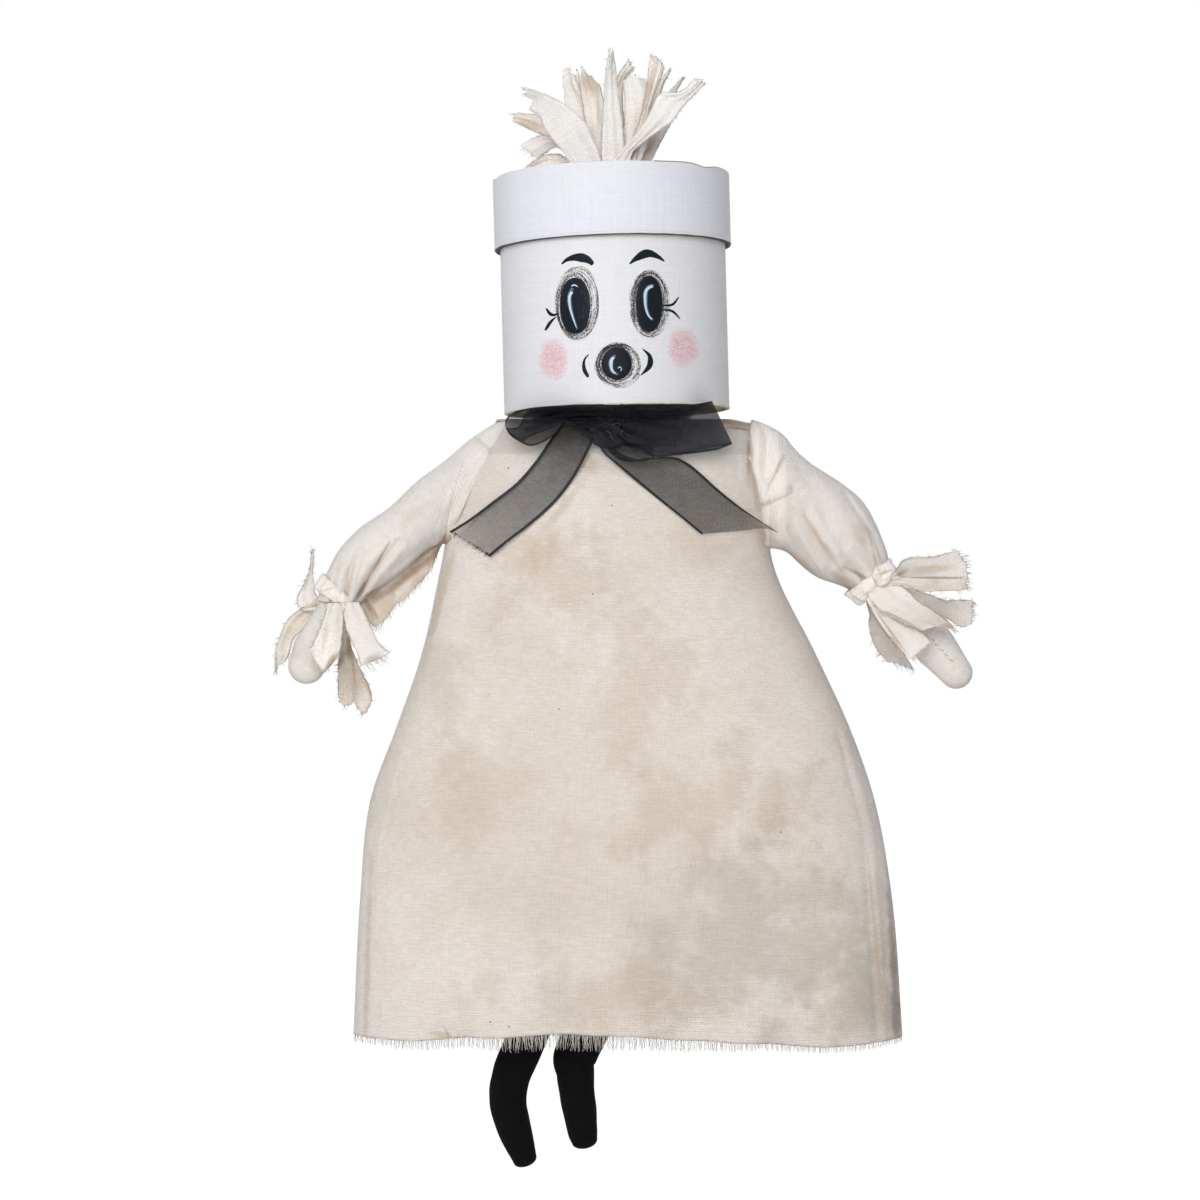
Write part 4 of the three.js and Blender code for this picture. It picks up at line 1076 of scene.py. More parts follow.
def hair_place(order, left, right, end, curl):
    """Where a hair strip's cloth is; the strips stand one behind another and spread towards their tips."""
    spot_at = strip_spot(left, right, end, order)

    def place(u, v):
        spot = spot_at(u, v)
        reach = clamp(math.dist(spot, HAIR_ROOT) / 120)
        cup = 0.6 * curl * (1 - (2 * u - 1) ** 2) * (0.5 + 0.5 * v)
        y = -64 + (order - 7) * 1.6 * (1 + 1.9 * reach) - cup + 2 * (u - 0.5) * v
        y += 0.8 * noise.noise(Vector((u * 2, v * 5, order * 3.1)))
        y += 0.5 * math.sin(u * 15 + order + 2 * v) * (1 - 0.5 * v)
        return at(spot.x, spot.y, y)

    return place


def build_hair():
    pale, deep = finish("Muslin hair"), finish("Muslin hair in shade")
    loose, tan = finish("Muslin thread"), finish("Tan thread")
    knot = gathered("hair_bunch_knot", [[0.5, 113.3], [9, 113.2], [15.6, 116.5], [15.4, 120.6], [11.4, 122.1],
                                        [11.3, 125.2], [9.5, 127.6], [0.5, 128.2]], 18, 0.7)
    dress_piece(knot, "lid", pale, ["hair_knot"])
    for order, (left, right, end, curl, shaded) in enumerate(HAIR_ROWS, 1):
        wide, long = strip_size(left, right, len(left))
        number = str(order).zfill(2)
        # Strips in shade get tan torn edges as painted shade; the others get pale ones.
        torn_strip("hair", number, "lid", "hair_strip_" + number, (20, 40), (max(wide, 6), long),
                   hair_place(order, left, right, end, curl), deep if shaded else pale, tan if shaded else loose,
                   (26, order, 2.2, 14), (order, 0.34))


def gathered(name, profile, pleats, deep):
    """Cloth gathered about an axis: a profile of [radius, height] with pleats round it."""
    line = path(profile)

    def place(u, v):
        radius, height = line(v)
        angle = 2 * math.pi * u
        pleat = math.sin(pleats * angle + 1.3 * math.sin(2 * angle)) * deep * clamp(radius / 6)
        radius = max(radius + pleat, 0) if 0.001 < v < 0.999 else 0.0
        return HEAD @ Vector((radius * math.cos(angle), radius * math.sin(angle), height))

    long = sum(math.dist(a, b) for a, b in zip(profile, profile[1:]))
    return formed(name, pleats * 6, 28, place, (2 * math.pi * 12, long), closed=True)


def build_neck():
    cloth = finish("Muslin stuffed")
    neck = gathered("neck_stuffed", [[0.3, -12.3], [12, -12.25], [15.4, -11.2], [15.6, -6], [15.2, -1.3], [9, -0.5],
                                     [6.4, 0.6], [6.3, 2.2], [0.3, 2.3]], 14, 0.35)
    dress_piece(neck, "torso", cloth, ["neck"])
    knot = gathered("neck_end_knot", [[0.3, 2.6], [9, 2.8], [11.4, 5.4], [10.5, 9], [6, 11.2], [0.3, 11.4]],
                    12, 0.5)
    dress_piece(knot, "torso", cloth, ["neck_knot"])


# Dress

outline = smooth([[-235, -139.5, 157], [-163, -135.8, 151.3], [-108, -130, 141.5], [-69, -116, 128],
                  [-30, -102.5, 110], [20, -91.5, 86.5], [60, -83.5, 84], [84, -73, 82], [97, -66, 76]])
depth = smooth([[-235, -75, 0], [-150, -80, 0], [26, -82, 0], [60, -80, -22], [97, -76, -36]])
SHOULDER_HEIGHT = 96.5
SHOULDER_CURVE = 19.0
HEM = -235.0
SEAM_LEFT = [(512, 420), (497, 440), (478, 475), (462, 510), (450, 545)]
SEAM_RIGHT = [(752, 420.6), (748, 437), (748, 458), (755, 479), (760, 508), (768, 548)]


def section(z, inset=0.0):
    """The dress at a height: its middle, half width, seam and half depth."""
    left, right = outline(z)
    front, back = depth(z)
    back = min(back, 0)
    rise = clamp((z + inset - (SHOULDER_HEIGHT - SHOULDER_CURVE)) / SHOULDER_CURVE)
    closing = math.sqrt(max(1 - rise * rise, 0.0008))
    deep = (back - front) / 2 * closing
    return (left + right) / 2, (right - left) / 2 - inset, (front + back) / 2, max(deep - inset, 0.4)


def swell(u):
    return (1 - min(abs(u), 1) ** 2.6) ** (1 / 2.6)


def back_swell(u):
    return min(1, 1.12 * (1 - min(abs(u), 1) ** 4) ** 0.25)


def dress_front_at(x, z):
    """Depth of the dress's front at a place."""
    middle, wide, seam, deep = section(z)
    return seam - deep * swell(clamp((x - middle) / wide, -1, 1))


def dress_back_at(x, z):
    """Depth of the dress's back at a place."""
    middle, wide, seam, deep = section(z)
    return seam + deep * back_swell(clamp((x - middle) / wide, -1, 1)) - 0.6


def dress_height(v):
    start = SHOULDER_HEIGHT - SHOULDER_CURVE
    if v < 0.8:
        return mix(HEM, start, v / 0.8)
    return start + SHOULDER_CURVE * math.sin((v - 0.8) / 0.2 * math.pi / 2)


FRONT_FOLDS = [
    ([(742, 424), (740, 455), (746, 490)], 3.0, 0.9), ([(718, 421.5), (757, 424.5)], 3.4, 2.0),
    ([(718, 429), (752, 432)], 2.4, -1.0), ([(765, 535), (740, 560), (720, 600)], 7.0, 1.0),
    ([(735, 520), (752, 545)], 4.0, -0.9), ([(448, 545), (470, 575)], 6.0, 1.2),
    ([(581, 464), (604, 478), (631, 487)], 1.6, -0.6), ([(585, 458), (606, 472), (634, 481)], 2.6, 0.5),
    ([(440, 1032), (470, 1041)], 4.0, -1.8), ([(451, 1020), (455, 1041)], 3.0, 1.6),
    ([(462, 1026), (466, 1043)], 2.4, -1.4),
    ([(404, 745), (380, 840), (371, 1035)], 3.2, 1.6), ([(412, 745), (389, 840), (380, 1035)], 2.6, -1.2),
    ([(845, 735), (872, 830), (886, 1035)], 3.2, 1.6), ([(838, 735), (863, 830), (876, 1035)], 2.6, -1.2),
    ([(600, 500), (560, 600), (520, 720)], 26.0, 1.0), ([(690, 540), (760, 760), (800, 1000)], 34.0, 1.1),
    ([(520, 760), (500, 1030)], 30.0, 0.8), ([(540, 560), (500, 640)], 12.0, -0.7),
    ([(470, 650), (440, 740)], 9.0, 0.7), ([(660, 800), (720, 900)], 16.0, -0.7),
]


def seam_at(run, z):
    """Where an armhole's seam is at a height, or None below its end."""
    low, high = run(1).z, run(0).z
    return run(clamp((high - z) / (high - low))).x if z > low else None


def panel(front):
    """Where a panel's cloth is. It ends at the side seams, and a little under the sleeves above them."""
    deep_seam = SEAM_FRONT if front else SEAM_BACK
    seams = [path([at(px, py, deep_seam) for px, py in run]) for run in (SEAM_LEFT, SEAM_RIGHT)]

    def place(u, v):
        z = dress_height(v)
        middle, wide, seam, deep = section(z)
        left, right = outline(z)
        sewn_left, sewn_right = [seam_at(run, z) for run in seams]
        if sewn_left is not None:
            left = max(left, sewn_left - 5)
        if sewn_right is not None:
            right = min(right, sewn_right + 5)
        share = -math.cos(math.pi * u)
        x = mix(left, right, (share + 1) / 2)
        under = 0.0
        if sewn_left is not None:
            under = max(under, sewn_left - x)
        if sewn_right is not None:
            under = max(under, x - sewn_right)
        u_here = clamp((x - middle) / wide, -1, 1)
        slope = 2.2 * ease(62, 76, x) * ease(SHOULDER_HEIGHT - 8, SHOULDER_HEIGHT, z)
        if not front:
            y = seam + max(deep * back_swell(u_here), 0.05)
            y = min(y - 0.5 - abs(rumple(x, z, 30, 0.9, 9.0)), y) - 1.4 * ease(0.5, 3.5, under)
            return x, y, z - slope
        rim = min(u, 1 - u)
        fold = 2.2 * clamp(1 - (z - HEM) / 130) * math.cos(5 * math.pi * share) * min(1, 6 * rim)
        y = seam - max(deep * swell(u_here) + fold, 0.05)
        px, py = picture((x, y, z))
        y -= folds(px, py, FRONT_FOLDS) * min(1, 8 * rim) * 0.8
        y -= rumple(x, z, 42, 1.2, 1.0) * min(1, 5 * rim)
        y -= rumple(x, z, 13, 0.35, 4.0)
        y += 1.9 * ease(0.0, 3.0, under)
        z -= slope
        uneven_hem = rumple(x, 3.0, 24, 1.0) + 4.6 * math.exp(-((x + 22) / 62) ** 2)
        uneven_hem -= 3.0 * math.exp(-((x - 118) / 34) ** 2)
        return x, y, z + uneven_hem * clamp(1 - (z - HEM) / 30)

    return place


def hem_threads(name, place, many, seed):
    """The fringe that hangs from a panel's frayed hem."""
    rng = random.Random(seed)
    hem_long = sizes().fringe / MM
    runs = []
    for k in range(many):
        u = clamp((k + rng.uniform(-0.4, 0.4)) / (many - 1), 0.002, 0.998)
        turn = math.acos(clamp(1 - 2 * u, -1, 1)) / math.pi
        root = Vector(place(turn, 0.004))
        tuft = 0.5 + 0.5 * noise.noise(Vector((root.x / 30, 2.0, 0)))
        middle = 0.5 + 0.52 * math.exp(-((root.x + 20) / 80) ** 2)
        reach = hem_long * rng.uniform(0.72, 1.0) * (0.76 + 0.4 * tuft) * middle
        lean = rng.uniform(-0.22, 0.22)
        runs.append([root, root + Vector((lean * reach * 0.3, rng.uniform(-0.3, 0.3), -0.35 * reach)),
                     root + Vector((lean * reach * 0.8, rng.uniform(-0.7, 0.7), -0.7 * reach)),
                     root + Vector((lean * reach * rng.uniform(0.2, 1.6), rng.uniform(-1, 1), -reach))])
    return threads(name, runs, 0.42)


def build_dress():
    cloth, thread = finish("Muslin dress"), finish("Muslin thread")
    for side, grid, tall, many in (("front", (170, 240), 350, 640), ("back", (90, 120), 340, 260)):
        place = panel(side == "front")
        piece = formed("dress_" + side + "_panel", *grid, place, (296, tall))
        thick(piece, sizes().cloth)
        dress_piece(piece, "torso", cloth, ["dress_" + side])
        fringe = hem_threads("hem_fringe_" + side, place, many, len(side))
        dress_piece(fringe, "torso", thread)


def build_torso():
    cloth = finish("Muslin stuffed")
    bottom, inset = -146.0, 3.6
    left, right = -51.0, 58.6
    top = SHOULDER_HEIGHT - inset

    def place(u, v):
        z = mix(bottom, top, 0.5 - 0.5 * math.cos(math.pi * v))
        _, _, seam, deep = section(z, inset)
        rise = (z - bottom) / (top - bottom)
        corner = 1 - min(1, rise / 0.14)
        rounding = mix(0.8, 1.0, math.sqrt(max(1 - corner**2, 0))) if 0 < v else 0.0
        wide = mix(42, (right - left) / 2, min(1, 1.4 * rise)) * rounding
        filled = mix(0.62, 1.0, ease(0.35, 0.8, rise))
        angle = 2 * math.pi * u
        closed = 0.0 if v > 0.999 or v < 0.001 else 1.0
        out = deep * filled * rounding * power(math.sin(angle), 0.8)
        puff = 0.4 * noise.noise(Vector((math.cos(angle) * 2, math.sin(angle) * 2, z / 30)))
        x = (left + right) / 2 + (wide - 0.5 + puff) * math.cos(angle) * closed
        return x, seam + out * closed * 0.98, z

    body = formed("torso_body", 64, 60, place, (300, 240), closed=True)
    dress_piece(body, "torso", cloth, ["torso_stuffed"])


# Limbs

def limb(stations, roundness, grow=0.0, plane=0.0, matrix=None, relief=None, tip=1.0):
    """Where a stuffed limb's skin is at u round it and v along it."""
    line = smooth([[k, *row] for k, row in enumerate(stations)])
    last = len(stations) - 1
    share = 0.09

    def place(u, v):
        if v < share:
            where, cap, way = 0.0, math.pi / 2 * (1 - v / share), -1
        elif v > 1 - share:
            where, cap, way = last, math.pi / 2 * (1 - (1 - v) / share), 1
        else:
            where, cap, way = mix(0.0, last, (v - share) / (1 - share - share)), 0.0, 1
        x0, z0, _, _ = line(max(where - 0.01, 0))
        x1, z1, _, _ = line(min(where + 0.01, last))
        long = math.hypot(x1 - x0, z1 - z0)
        ahead = ((x1 - x0) / long, (z1 - z0) / long)
        x, z, wide, deep = line(where)
        wide, deep = wide + grow, deep + grow
        angle = 2 * math.pi * u
        reach = way * wide * tip * math.sin(cap)
        narrow = math.cos(cap) if abs(cap - math.pi / 2) > 1e-6 else 0.0
        side = wide * narrow * power(math.cos(angle), 2 / roundness)
        back = deep * narrow ** (2 / roundness) * power(math.sin(angle), 2 / roundness)
        spot = Vector((x + ahead[0] * reach - ahead[1] * side, plane + back, z + ahead[1] * reach + ahead[0] * side))
        if relief:
            spot = relief(spot, u, narrow)
        return matrix @ spot if matrix else spot

    return place


def arm_frame(arm):
    side, turn = arm["side"], math.radians(arm["drop"])
    ahead = Vector((side * math.cos(turn), 0, -math.sin(turn)))
    up = Vector((side * math.sin(turn), 0, math.cos(turn)))
    place = Matrix((ahead, Vector((0, 1, 0)), up)).transposed().to_4x4()
    place.translation = arm["shoulder"]
    return place


ARMS = {
    "left": {
        "body": "arm_l", "side": -1, "shoulder": Vector((-76.2, ARM_DEPTH, 60.7)), "drop": 38.8,
        "stations": [[0, 0, 24, 18], [25, 4, 16.8, 15], [53, 2.5, 16.2, 13], [74, 1.4, 13.4, 11], [92, -1, 9.8, 8.5],
                     [105, -6.5, 9.5, 8], [118, -15, 13.8, 9], [128.5, -19.6, 11.8, 8]],
        "top": [(512, 419), (503.5, 421.5), (488, 424), (474, 436.5), (447, 460), (416.5, 483), (390, 508),
                (360, 529), (340, 550), (331, 566), (320, 592), (318, 601)],
        "low": [(450, 545), (447, 542), (440, 541), (432, 545), (420, 554), (406, 567), (392, 578), (380, 586),
                (369, 594), (362, 600), (356, 606)],
        "deep": [[0, 17], [0.12, 18], [0.35, 15], [0.6, 13], [0.82, 10.5], [1, 8.2]],
        "folds": [([(398, 541), (373, 571), (356, 602)], 3.0, -3.0), ([(404, 546), (380, 574), (364, 600)], 3.5, 2.0),
                  ([(386, 540), (364, 570), (350, 602)], 3.5, 1.8), ([(354, 558), (347, 580), (343, 604)], 2.6, -2.2),
                  ([(362, 552), (353, 580), (349, 602)], 2.6, 1.4), ([(344, 566), (336, 602)], 2.6, 1.6),
                  ([(338, 570), (330, 602)], 2.2, -1.2), ([(476, 438), (492, 453)], 3.0, -1.3),
                  ([(470, 446), (487, 462)], 4.0, 0.8), ([(482, 500), (466, 518), (452, 534)], 4, -2.4),
                  ([(476, 494), (458, 514), (440, 530)], 5, 1.6), ([(495, 432), (484, 476), (458, 514)], 6, 0.9),
                  ([(440, 475), (400, 520)], 9, 0.9), ([(450, 538), (430, 552), (404, 570)], 3, 1.4),
                  ([(440, 534), (415, 552), (392, 570)], 3, -1.4), ([(420, 500), (396, 524)], 6, -0.8)],
        "start": (-86.1, ARM_DEPTH, 59.6), "end": (-112, ARM_DEPTH, 56.9), "cut": (0.1, 0.112),
    },
    "right": {
        "body": "arm_r", "side": 1, "shoulder": Vector((83.8, ARM_DEPTH, 60.7)), "drop": 45.6,
        "stations": [[0, 0, 24, 18], [22, 5, 23, 18], [41, 7, 22.6, 17], [57, 6.4, 19, 14], [76, 4.3, 10.8, 8.5],
                     [95, 4.6, 9.5, 8], [118, 4.6, 13.4, 9], [142, 2.6, 10.6, 8.2]],
        "top": [(752, 421), (761, 422.6), (780, 432), (792, 447), (809, 463), (841, 484), (862, 502), (874, 522),
                (882, 541), (887, 556), (888, 566)],
        "low": [(768, 549), (776, 547), (788, 552), (800, 563), (812, 573), (821, 578), (836, 583), (848, 588),
                (854, 592)],
        "deep": [[0, 17], [0.15, 19], [0.45, 19], [0.7, 17], [0.88, 12], [1, 8.4]],
        "folds": [([(804, 515), (815, 538), (832, 566)], 3.2, -3.0), ([(813, 510), (826, 534), (844, 562)], 3.6, 2.2),
                  ([(796, 524), (808, 548), (822, 570)], 3.4, 1.8), ([(788, 530), (800, 556)], 3.0, -1.4),
                  ([(843, 491), (872, 534), (882, 563)], 2.4, -1.8), ([(850, 496), (877, 536)], 2.2, 1.0),
                  ([(759, 432), (757, 470), (766, 500)], 3.4, 2.0), ([(768, 436), (766, 468)], 2.6, -2.2),
                  ([(778, 436), (777, 462), (768, 486)], 4, 1.6), ([(786, 458), (776, 474), (767, 486)], 2.2, -2.0),
                  ([(792, 490), (776, 500), (761, 508)], 2.6, -1.6), ([(800, 482), (780, 492), (764, 498)], 3.4, 1.4),
                  ([(798, 505), (780, 516), (766, 524)], 3.4, 1.2), ([(820, 478), (850, 530)], 8, 1.0),
                  ([(842, 556), (868, 584)], 3.0, -2.2), ([(850, 549), (876, 578)], 3.0, 1.8),
                  ([(862, 540), (883, 570)], 2.6, -1.8), ([(834, 566), (858, 590)], 3, 1.4),
                  ([(826, 570), (850, 590)], 2.6, -1.4), ([(780, 437), (800, 470)], 4, -1.2)],
        "start": (93.8, ARM_DEPTH, 59.0), "end": (119.6, ARM_DEPTH, 55.0), "cut": (0.13, 0.112),
    },
}


def blend_sleeve(piece):
    """Bakes the piece's place into its mesh."""
    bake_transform(piece)


def sleeve_place(arm, seam):
    """Where a sleeve's cloth is, from its seam on the dress to the wrist."""
    top, low, deep, side = path(arm["top"]), path(arm["low"]), smooth(arm["deep"]), arm["side"]

    def place(u, v):
        angle = 2 * math.pi * u
        rise = 0.5 + 0.5 * power(math.cos(angle), 2 / 2.2)
        spot = low(v).lerp(top(v), rise).lerp(seam(1 - rise), 1 - ease(0.0, 0.2, v))
        out = power(math.sin(angle), 2 / 2.2)
        tuck = (1 - ease(0.2, 0.6, abs(out))) * clamp(-2 * math.cos(angle)) * (1 - ease(0.0, 0.12, v))
        spot.x -= 10 * side * tuck
        near_x, _, near_z = at(spot.x, spot.y, SEAM_FRONT)
        before = dress_front_at(near_x, near_z) - 0.35
        back_x, _, back_z = at(spot.x, spot.y, SEAM_BACK)
        behind = dress_back_at(back_x, back_z) + 0.35
        way = math.copysign(ease(0.0, 0.45, abs(out)), out)
        y = mix((before + behind) / 2 + (behind - before) / 2 * way, ARM_DEPTH + out * deep(v)[0],
                ease(0.0, 0.2 if side < 0 else 0.16, v))
        gather = ease(0.78, 1.0, v) * 0.9 * math.sin(angle * 11 + 0.6 * math.sin(angle * 3))
        pucker = (1 - ease(0.0, 0.09, v)) * (0.03 if side < 0 else 0.3)
        pucker *= math.sin(angle * 19 + 2 * math.sin(angle * 2))
        y -= clamp(-out * 1.4) * folds(spot.x, spot.y, arm["folds"]) * ease(0.0, 0.06, v)
        y += clamp(out * 1.4) * 0.5 * folds(spot.x + 9, spot.y + 7, arm["folds"])
        y += out * (gather + rumple(spot.x, spot.y, 16, 1.1, side + 2.0) * ease(0.0, 0.2, v) + pucker)
        y += out * rumple(spot.x, spot.y, 6, 0.3, side + 5.0) * ease(0.08, 0.3, v)
        return at(spot.x, spot.y, y)

    return place


def build_arms():
    cloth, stuffed = finish("Muslin sleeve"), finish("Muslin stuffed")
    # How much thinner each station is inside its sleeve, so that it stays hidden when the arm is up
    shy = [9.0, 7.0, 5.0, 3.5, 1.6, 0, 0, 0]
    for name, arm in ARMS.items():
        rows = [[x, z, wide - less, thin - less] for (x, z, wide, thin), less in zip(arm["stations"], shy)]
        skin = formed("arm_stuffed_" + name, 40, 90, limb(rows, 2.3, -1.8, matrix=arm_frame(arm)), (90, 190),
                      closed=True)
        dress_piece(skin, arm["body"], stuffed, ["arm_" + name])
        seam = path(SEAM_LEFT if name == "left" else SEAM_RIGHT)
        shape = formed("sleeve_cloth_" + name, 96, 150, sleeve_place(arm, seam), (160, 140), closed=True)
        thick(shape, sizes().cloth)
        settle(shape)
        dress_piece(shape, None, cloth, ["sleeve_" + name])
        blend_sleeve(shape)


# Per strip: depth, the two edges from the tie to the torn end, the end, the curl in mm, and whether it is in shade
CUFFS = {
    "left": [
        (-38.5, [(322, 612), (300, 609), (297, 598), (303.5, 585), (309, 571), (311.4, 553)],
         [(333, 603), (318, 598), (314, 586), (313, 570), (313.2, 553)], None, 1, False),
        (-37, [(312, 603), (298, 610), (288, 620), (281, 633), (276.5, 646), (274.5, 664)],
         [(331, 606), (316, 616), (302, 629.5), (293, 640), (288.5, 655), (281, 666)],
         [(274.5, 664), (277, 669), (279, 665), (281, 666)], 2.4, True),
        (-65.5, [(328, 603), (320, 628), (309.7, 650)], [(345, 603), (343, 626), (341.6, 645)],
         [(309.7, 650), (317.4, 664), (322.5, 671.6), (335, 659), (341.6, 645)], 1.5, False),
        (-35.5, [(334, 606), (340, 640), (338, 665), (337.6, 684), (339, 702)],
         [(352, 606), (350, 640), (356, 660), (366, 680), (372, 694), (371, 707)],
         [(339, 702), (345, 706), (352, 704), (354, 699), (358, 709), (365, 714), (371, 707)], 2, True),
        (-68, [(341, 602), (344, 620), (349, 636), (357, 652), (361.6, 665.4)],
         [(358, 602), (366, 617), (374, 634), (381, 646), (390.6, 652.5)],
         [(361.6, 665.4), (370, 662), (380, 657.5), (390.6, 652.5)], 1.6, False),
    ],
    "right": [
        (-38.5, [(880, 572), (894, 571), (903, 560), (918, 556.8), (933, 556.8), (955.6, 550.4)],
         [(884, 582), (902, 579), (915, 577.6), (940, 578.6), (968, 578.6)], [(955.6, 550.4), (966, 562), (968, 577)],
         2, False),
        (-69, [(882, 576), (906, 577), (936, 578), (968, 578)],
         [(882, 586), (906, 586), (921, 591), (942, 591), (964.5, 590)], None, 1.5, True),
        (-37, [(882, 579), (906, 587), (924, 592.5), (944, 600), (959, 600), (973, 600)],
         [(878, 594), (906, 603), (928, 611), (947, 618), (963, 627), (972, 624)], None, 2.4, False),
        (-68, [(888, 578), (904.6, 587.4), (918.6, 601), (944, 618), (958, 632)],
         [(867.6, 594), (873, 604), (898, 620.6), (912, 627), (923.7, 631)],
         [(958, 632), (946.7, 628), (934, 627), (923.7, 631)], 2.4, False),
        (-65.5, [(884, 588), (900, 614), (920, 630), (931, 642)],
         [(866, 598), (872.7, 611.6), (883, 628), (898, 646), (909.7, 660)], None, 1.5, False),
        (-35.5, [(864, 596), (869, 611), (869.5, 628), (875, 646), (888, 662.7)],
         [(884, 592), (891, 628), (902, 650), (913.5, 669.7)],
         [(888, 662.7), (900.8, 663), (913.5, 669.7)], 2, False),
    ],
}


def tie_place(arm):
    """Where the gathered cloth wound round a wrist is, u round the wrist and v round the tie itself."""
    line = smooth([[k, *row] for k, row in enumerate(arm["stations"])])
    matrix = arm_frame(arm)

    def place(u, v):
        turn, angle = 2 * math.pi * v, 2 * math.pi * u
        where = 4 + 0.24 * math.cos(turn)
        x, z, wide, thin = line(where)
        x0, z0, _, _ = line(where - 0.05)
        x1, z1, _, _ = line(where + 0.05)
        long = math.hypot(x1 - x0, z1 - z0)
        pleat = 0.45 * math.sin(angle * 13 + 2 * math.sin(turn)) + 0.3 * math.sin(turn * 3 + angle * 2)
        grow = 0.8 + 1.5 * math.sin(turn) + pleat
        side = (wide + grow + 1.6) * power(math.cos(angle), 2 / 2.3)
        return matrix @ Vector((x - (z1 - z0) / long * side, (thin + grow) * power(math.sin(angle), 2 / 2.3),
                                z + (x1 - x0) / long * side))

    return place


def cuff_place(name, order, y, left, right, end, curl):
    """Where a cuff strip's cloth is; it leaves the tie and lies before or behind the hand."""
    spot_at = strip_spot(left, right, end, order * 3.7 + len(name))
    way = -1 if y < ARM_DEPTH else 1

    def place(u, v):
        spot = spot_at(u, v)
        cup = curl * (1 - (2 * u - 1) ** 2)
        into = mix(ARM_DEPTH + way * 10.5, y + way * 4.5 * v * v, ease(0.0, 0.35, v)) + way * 0.5 * cup
        into += 1.1 * noise.noise(Vector((u * 2.2, v * 4, order * 5.1 + len(name))))
        into += 0.7 * math.sin(u * 14 + order) * (1 - v) ** 2
        return at(spot.x, spot.y, into)

    return place


def wrist_knot(u, v):
    """Where the knot of cloth at the right wrist is."""
    angle, rise = 2 * math.pi * u, math.pi * (v - 0.5)
    out = max(math.cos(rise), 0.0) ** 0.7 if 0.001 < v < 0.999 else 0.0
    pleat = 1 + 0.14 * math.sin(angle * 5 + 2 * math.sin(rise * 2)) + 0.07 * math.sin(angle * 9)
    spot = Vector((885, 574)) + Vector((0.8, -0.6)) * 13 * math.sin(rise)
    spot += Vector((0.6, 0.8)) * (9.5 * out * pleat * math.cos(angle))
    return at(spot.x, spot.y, -64 + 6 * out * pleat * math.sin(angle))


# The frayed flap under the left sleeve: its torn edge and its sewn edge
FLAP_FREE = [(437.5, 553), (430, 569), (420, 581), (407, 595.5), (396, 604), (389, 613), (385, 618.5), (374, 626),
             (367, 619)]
FLAP_SEWN = [(449, 531), (434, 541), (416, 554), (398, 567), (380, 580), (366, 591), (357, 600)]


def build_flap():
    free, sewn = path(FLAP_FREE), path(FLAP_SEWN)

    def place(u, v):
        gap = free(v) - sewn(v)
        away = gap.normalized() if gap.length > 0.01 else Vector((0, 0))
        wave = noise.noise(Vector((v * 14, 2.2, 7.3))) + 0.5 * noise.noise(Vector((v * 50, 2.2, 1.3)))
        spot = sewn(v).lerp(free(v), u) + away * wave * u
        fold = 1.3 * math.exp(-((u - 0.35) / 0.14) ** 2) + 1.6 * math.exp(-((v - 0.86) / 0.05) ** 2) * u
        lump = 1.3 * noise.noise(Vector((u * 2, v * 5, 3))) + 1.5 * math.sin(u * 3) * v
        return at(spot.x, spot.y, -47 + lump - fold)

    piece = formed("sleeve_loose_edge", 18, 70, place, (14, 62))
    thick(piece, sizes().strip)
    dress_piece(piece, None, finish("Muslin in deep shade"), ["sleeve_flap_left"])
    rng = random.Random(12)
    runs = []
    for k in range(150):
        v = clamp((k + rng.uniform(-0.4, 0.4)) / 150)
        root = Vector(place(0.95, v))
        out = (Vector(place(1, v)) - Vector(place(0.8, v))).normalized()
        reach = rng.uniform(1.0, 3.6)
        drift = Vector((rng.uniform(-0.6, 0.6), rng.uniform(-0.4, 0.4), rng.uniform(-0.7, 0.2)))
        runs.append(wisp(root, out, drift, reach))
    frays = threads("sleeve_edge_threads", runs, 0.34)
    dress_piece(frays, None, finish("Tan thread"))
    blend_sleeve(piece)
    blend_sleeve(frays)


def build_hands():
    pale, deep, sleeve = finish("Muslin strip"), finish("Muslin strip in shade"), finish("Muslin sleeve")
    for name, arm in ARMS.items():
        wrap = formed("wrist_wrap_" + name, 120, 18, tie_place(arm), (62, 20), closed=True)
        dress_piece(wrap, arm["body"], sleeve, ["wrist_tie_" + name])
        for order, (y, left, right, end, curl, shaded) in enumerate(CUFFS[name], 1):
            wide, long = strip_size(left, right, min(len(left), len(right)))
            label = name + "_" + str(order)
            torn_strip("cuff", label, arm["body"], "cuff_" + label, (22, 34), (max(wide, 5), long),
                       cuff_place(name, order, y, left, right, end, curl), deep if shaded else pale,
                       finish("Tan thread"), (40, order * 7 + len(name), 3.2, 26, 0.3),
                       (order * 5 + len(name), 0.38, 0.12))
    knot = formed("wrist_knot_right", 48, 24, wrist_knot, (24, 12), closed=True)
    dress_piece(knot, "arm_r", sleeve)
    stitches = []
    for k in range(9):
        t = (k + 0.2) / 9
        px, py, zigzag = mix(934, 955, t) - 0.9, mix(641, 664, t) - 0.4, 0.8 if k % 2 else -0.8
        stitches.append([at(px + 2.2 * s, py + 1.6 * s + zigzag, -61.9 - 1.2 * t) for s in (-0.5, -0.2, 0.2, 0.5)])
    dress_piece(threads("mitt_stitches_right", stitches, 0.5), "arm_r", finish("Brown thread"))
    build_flap()


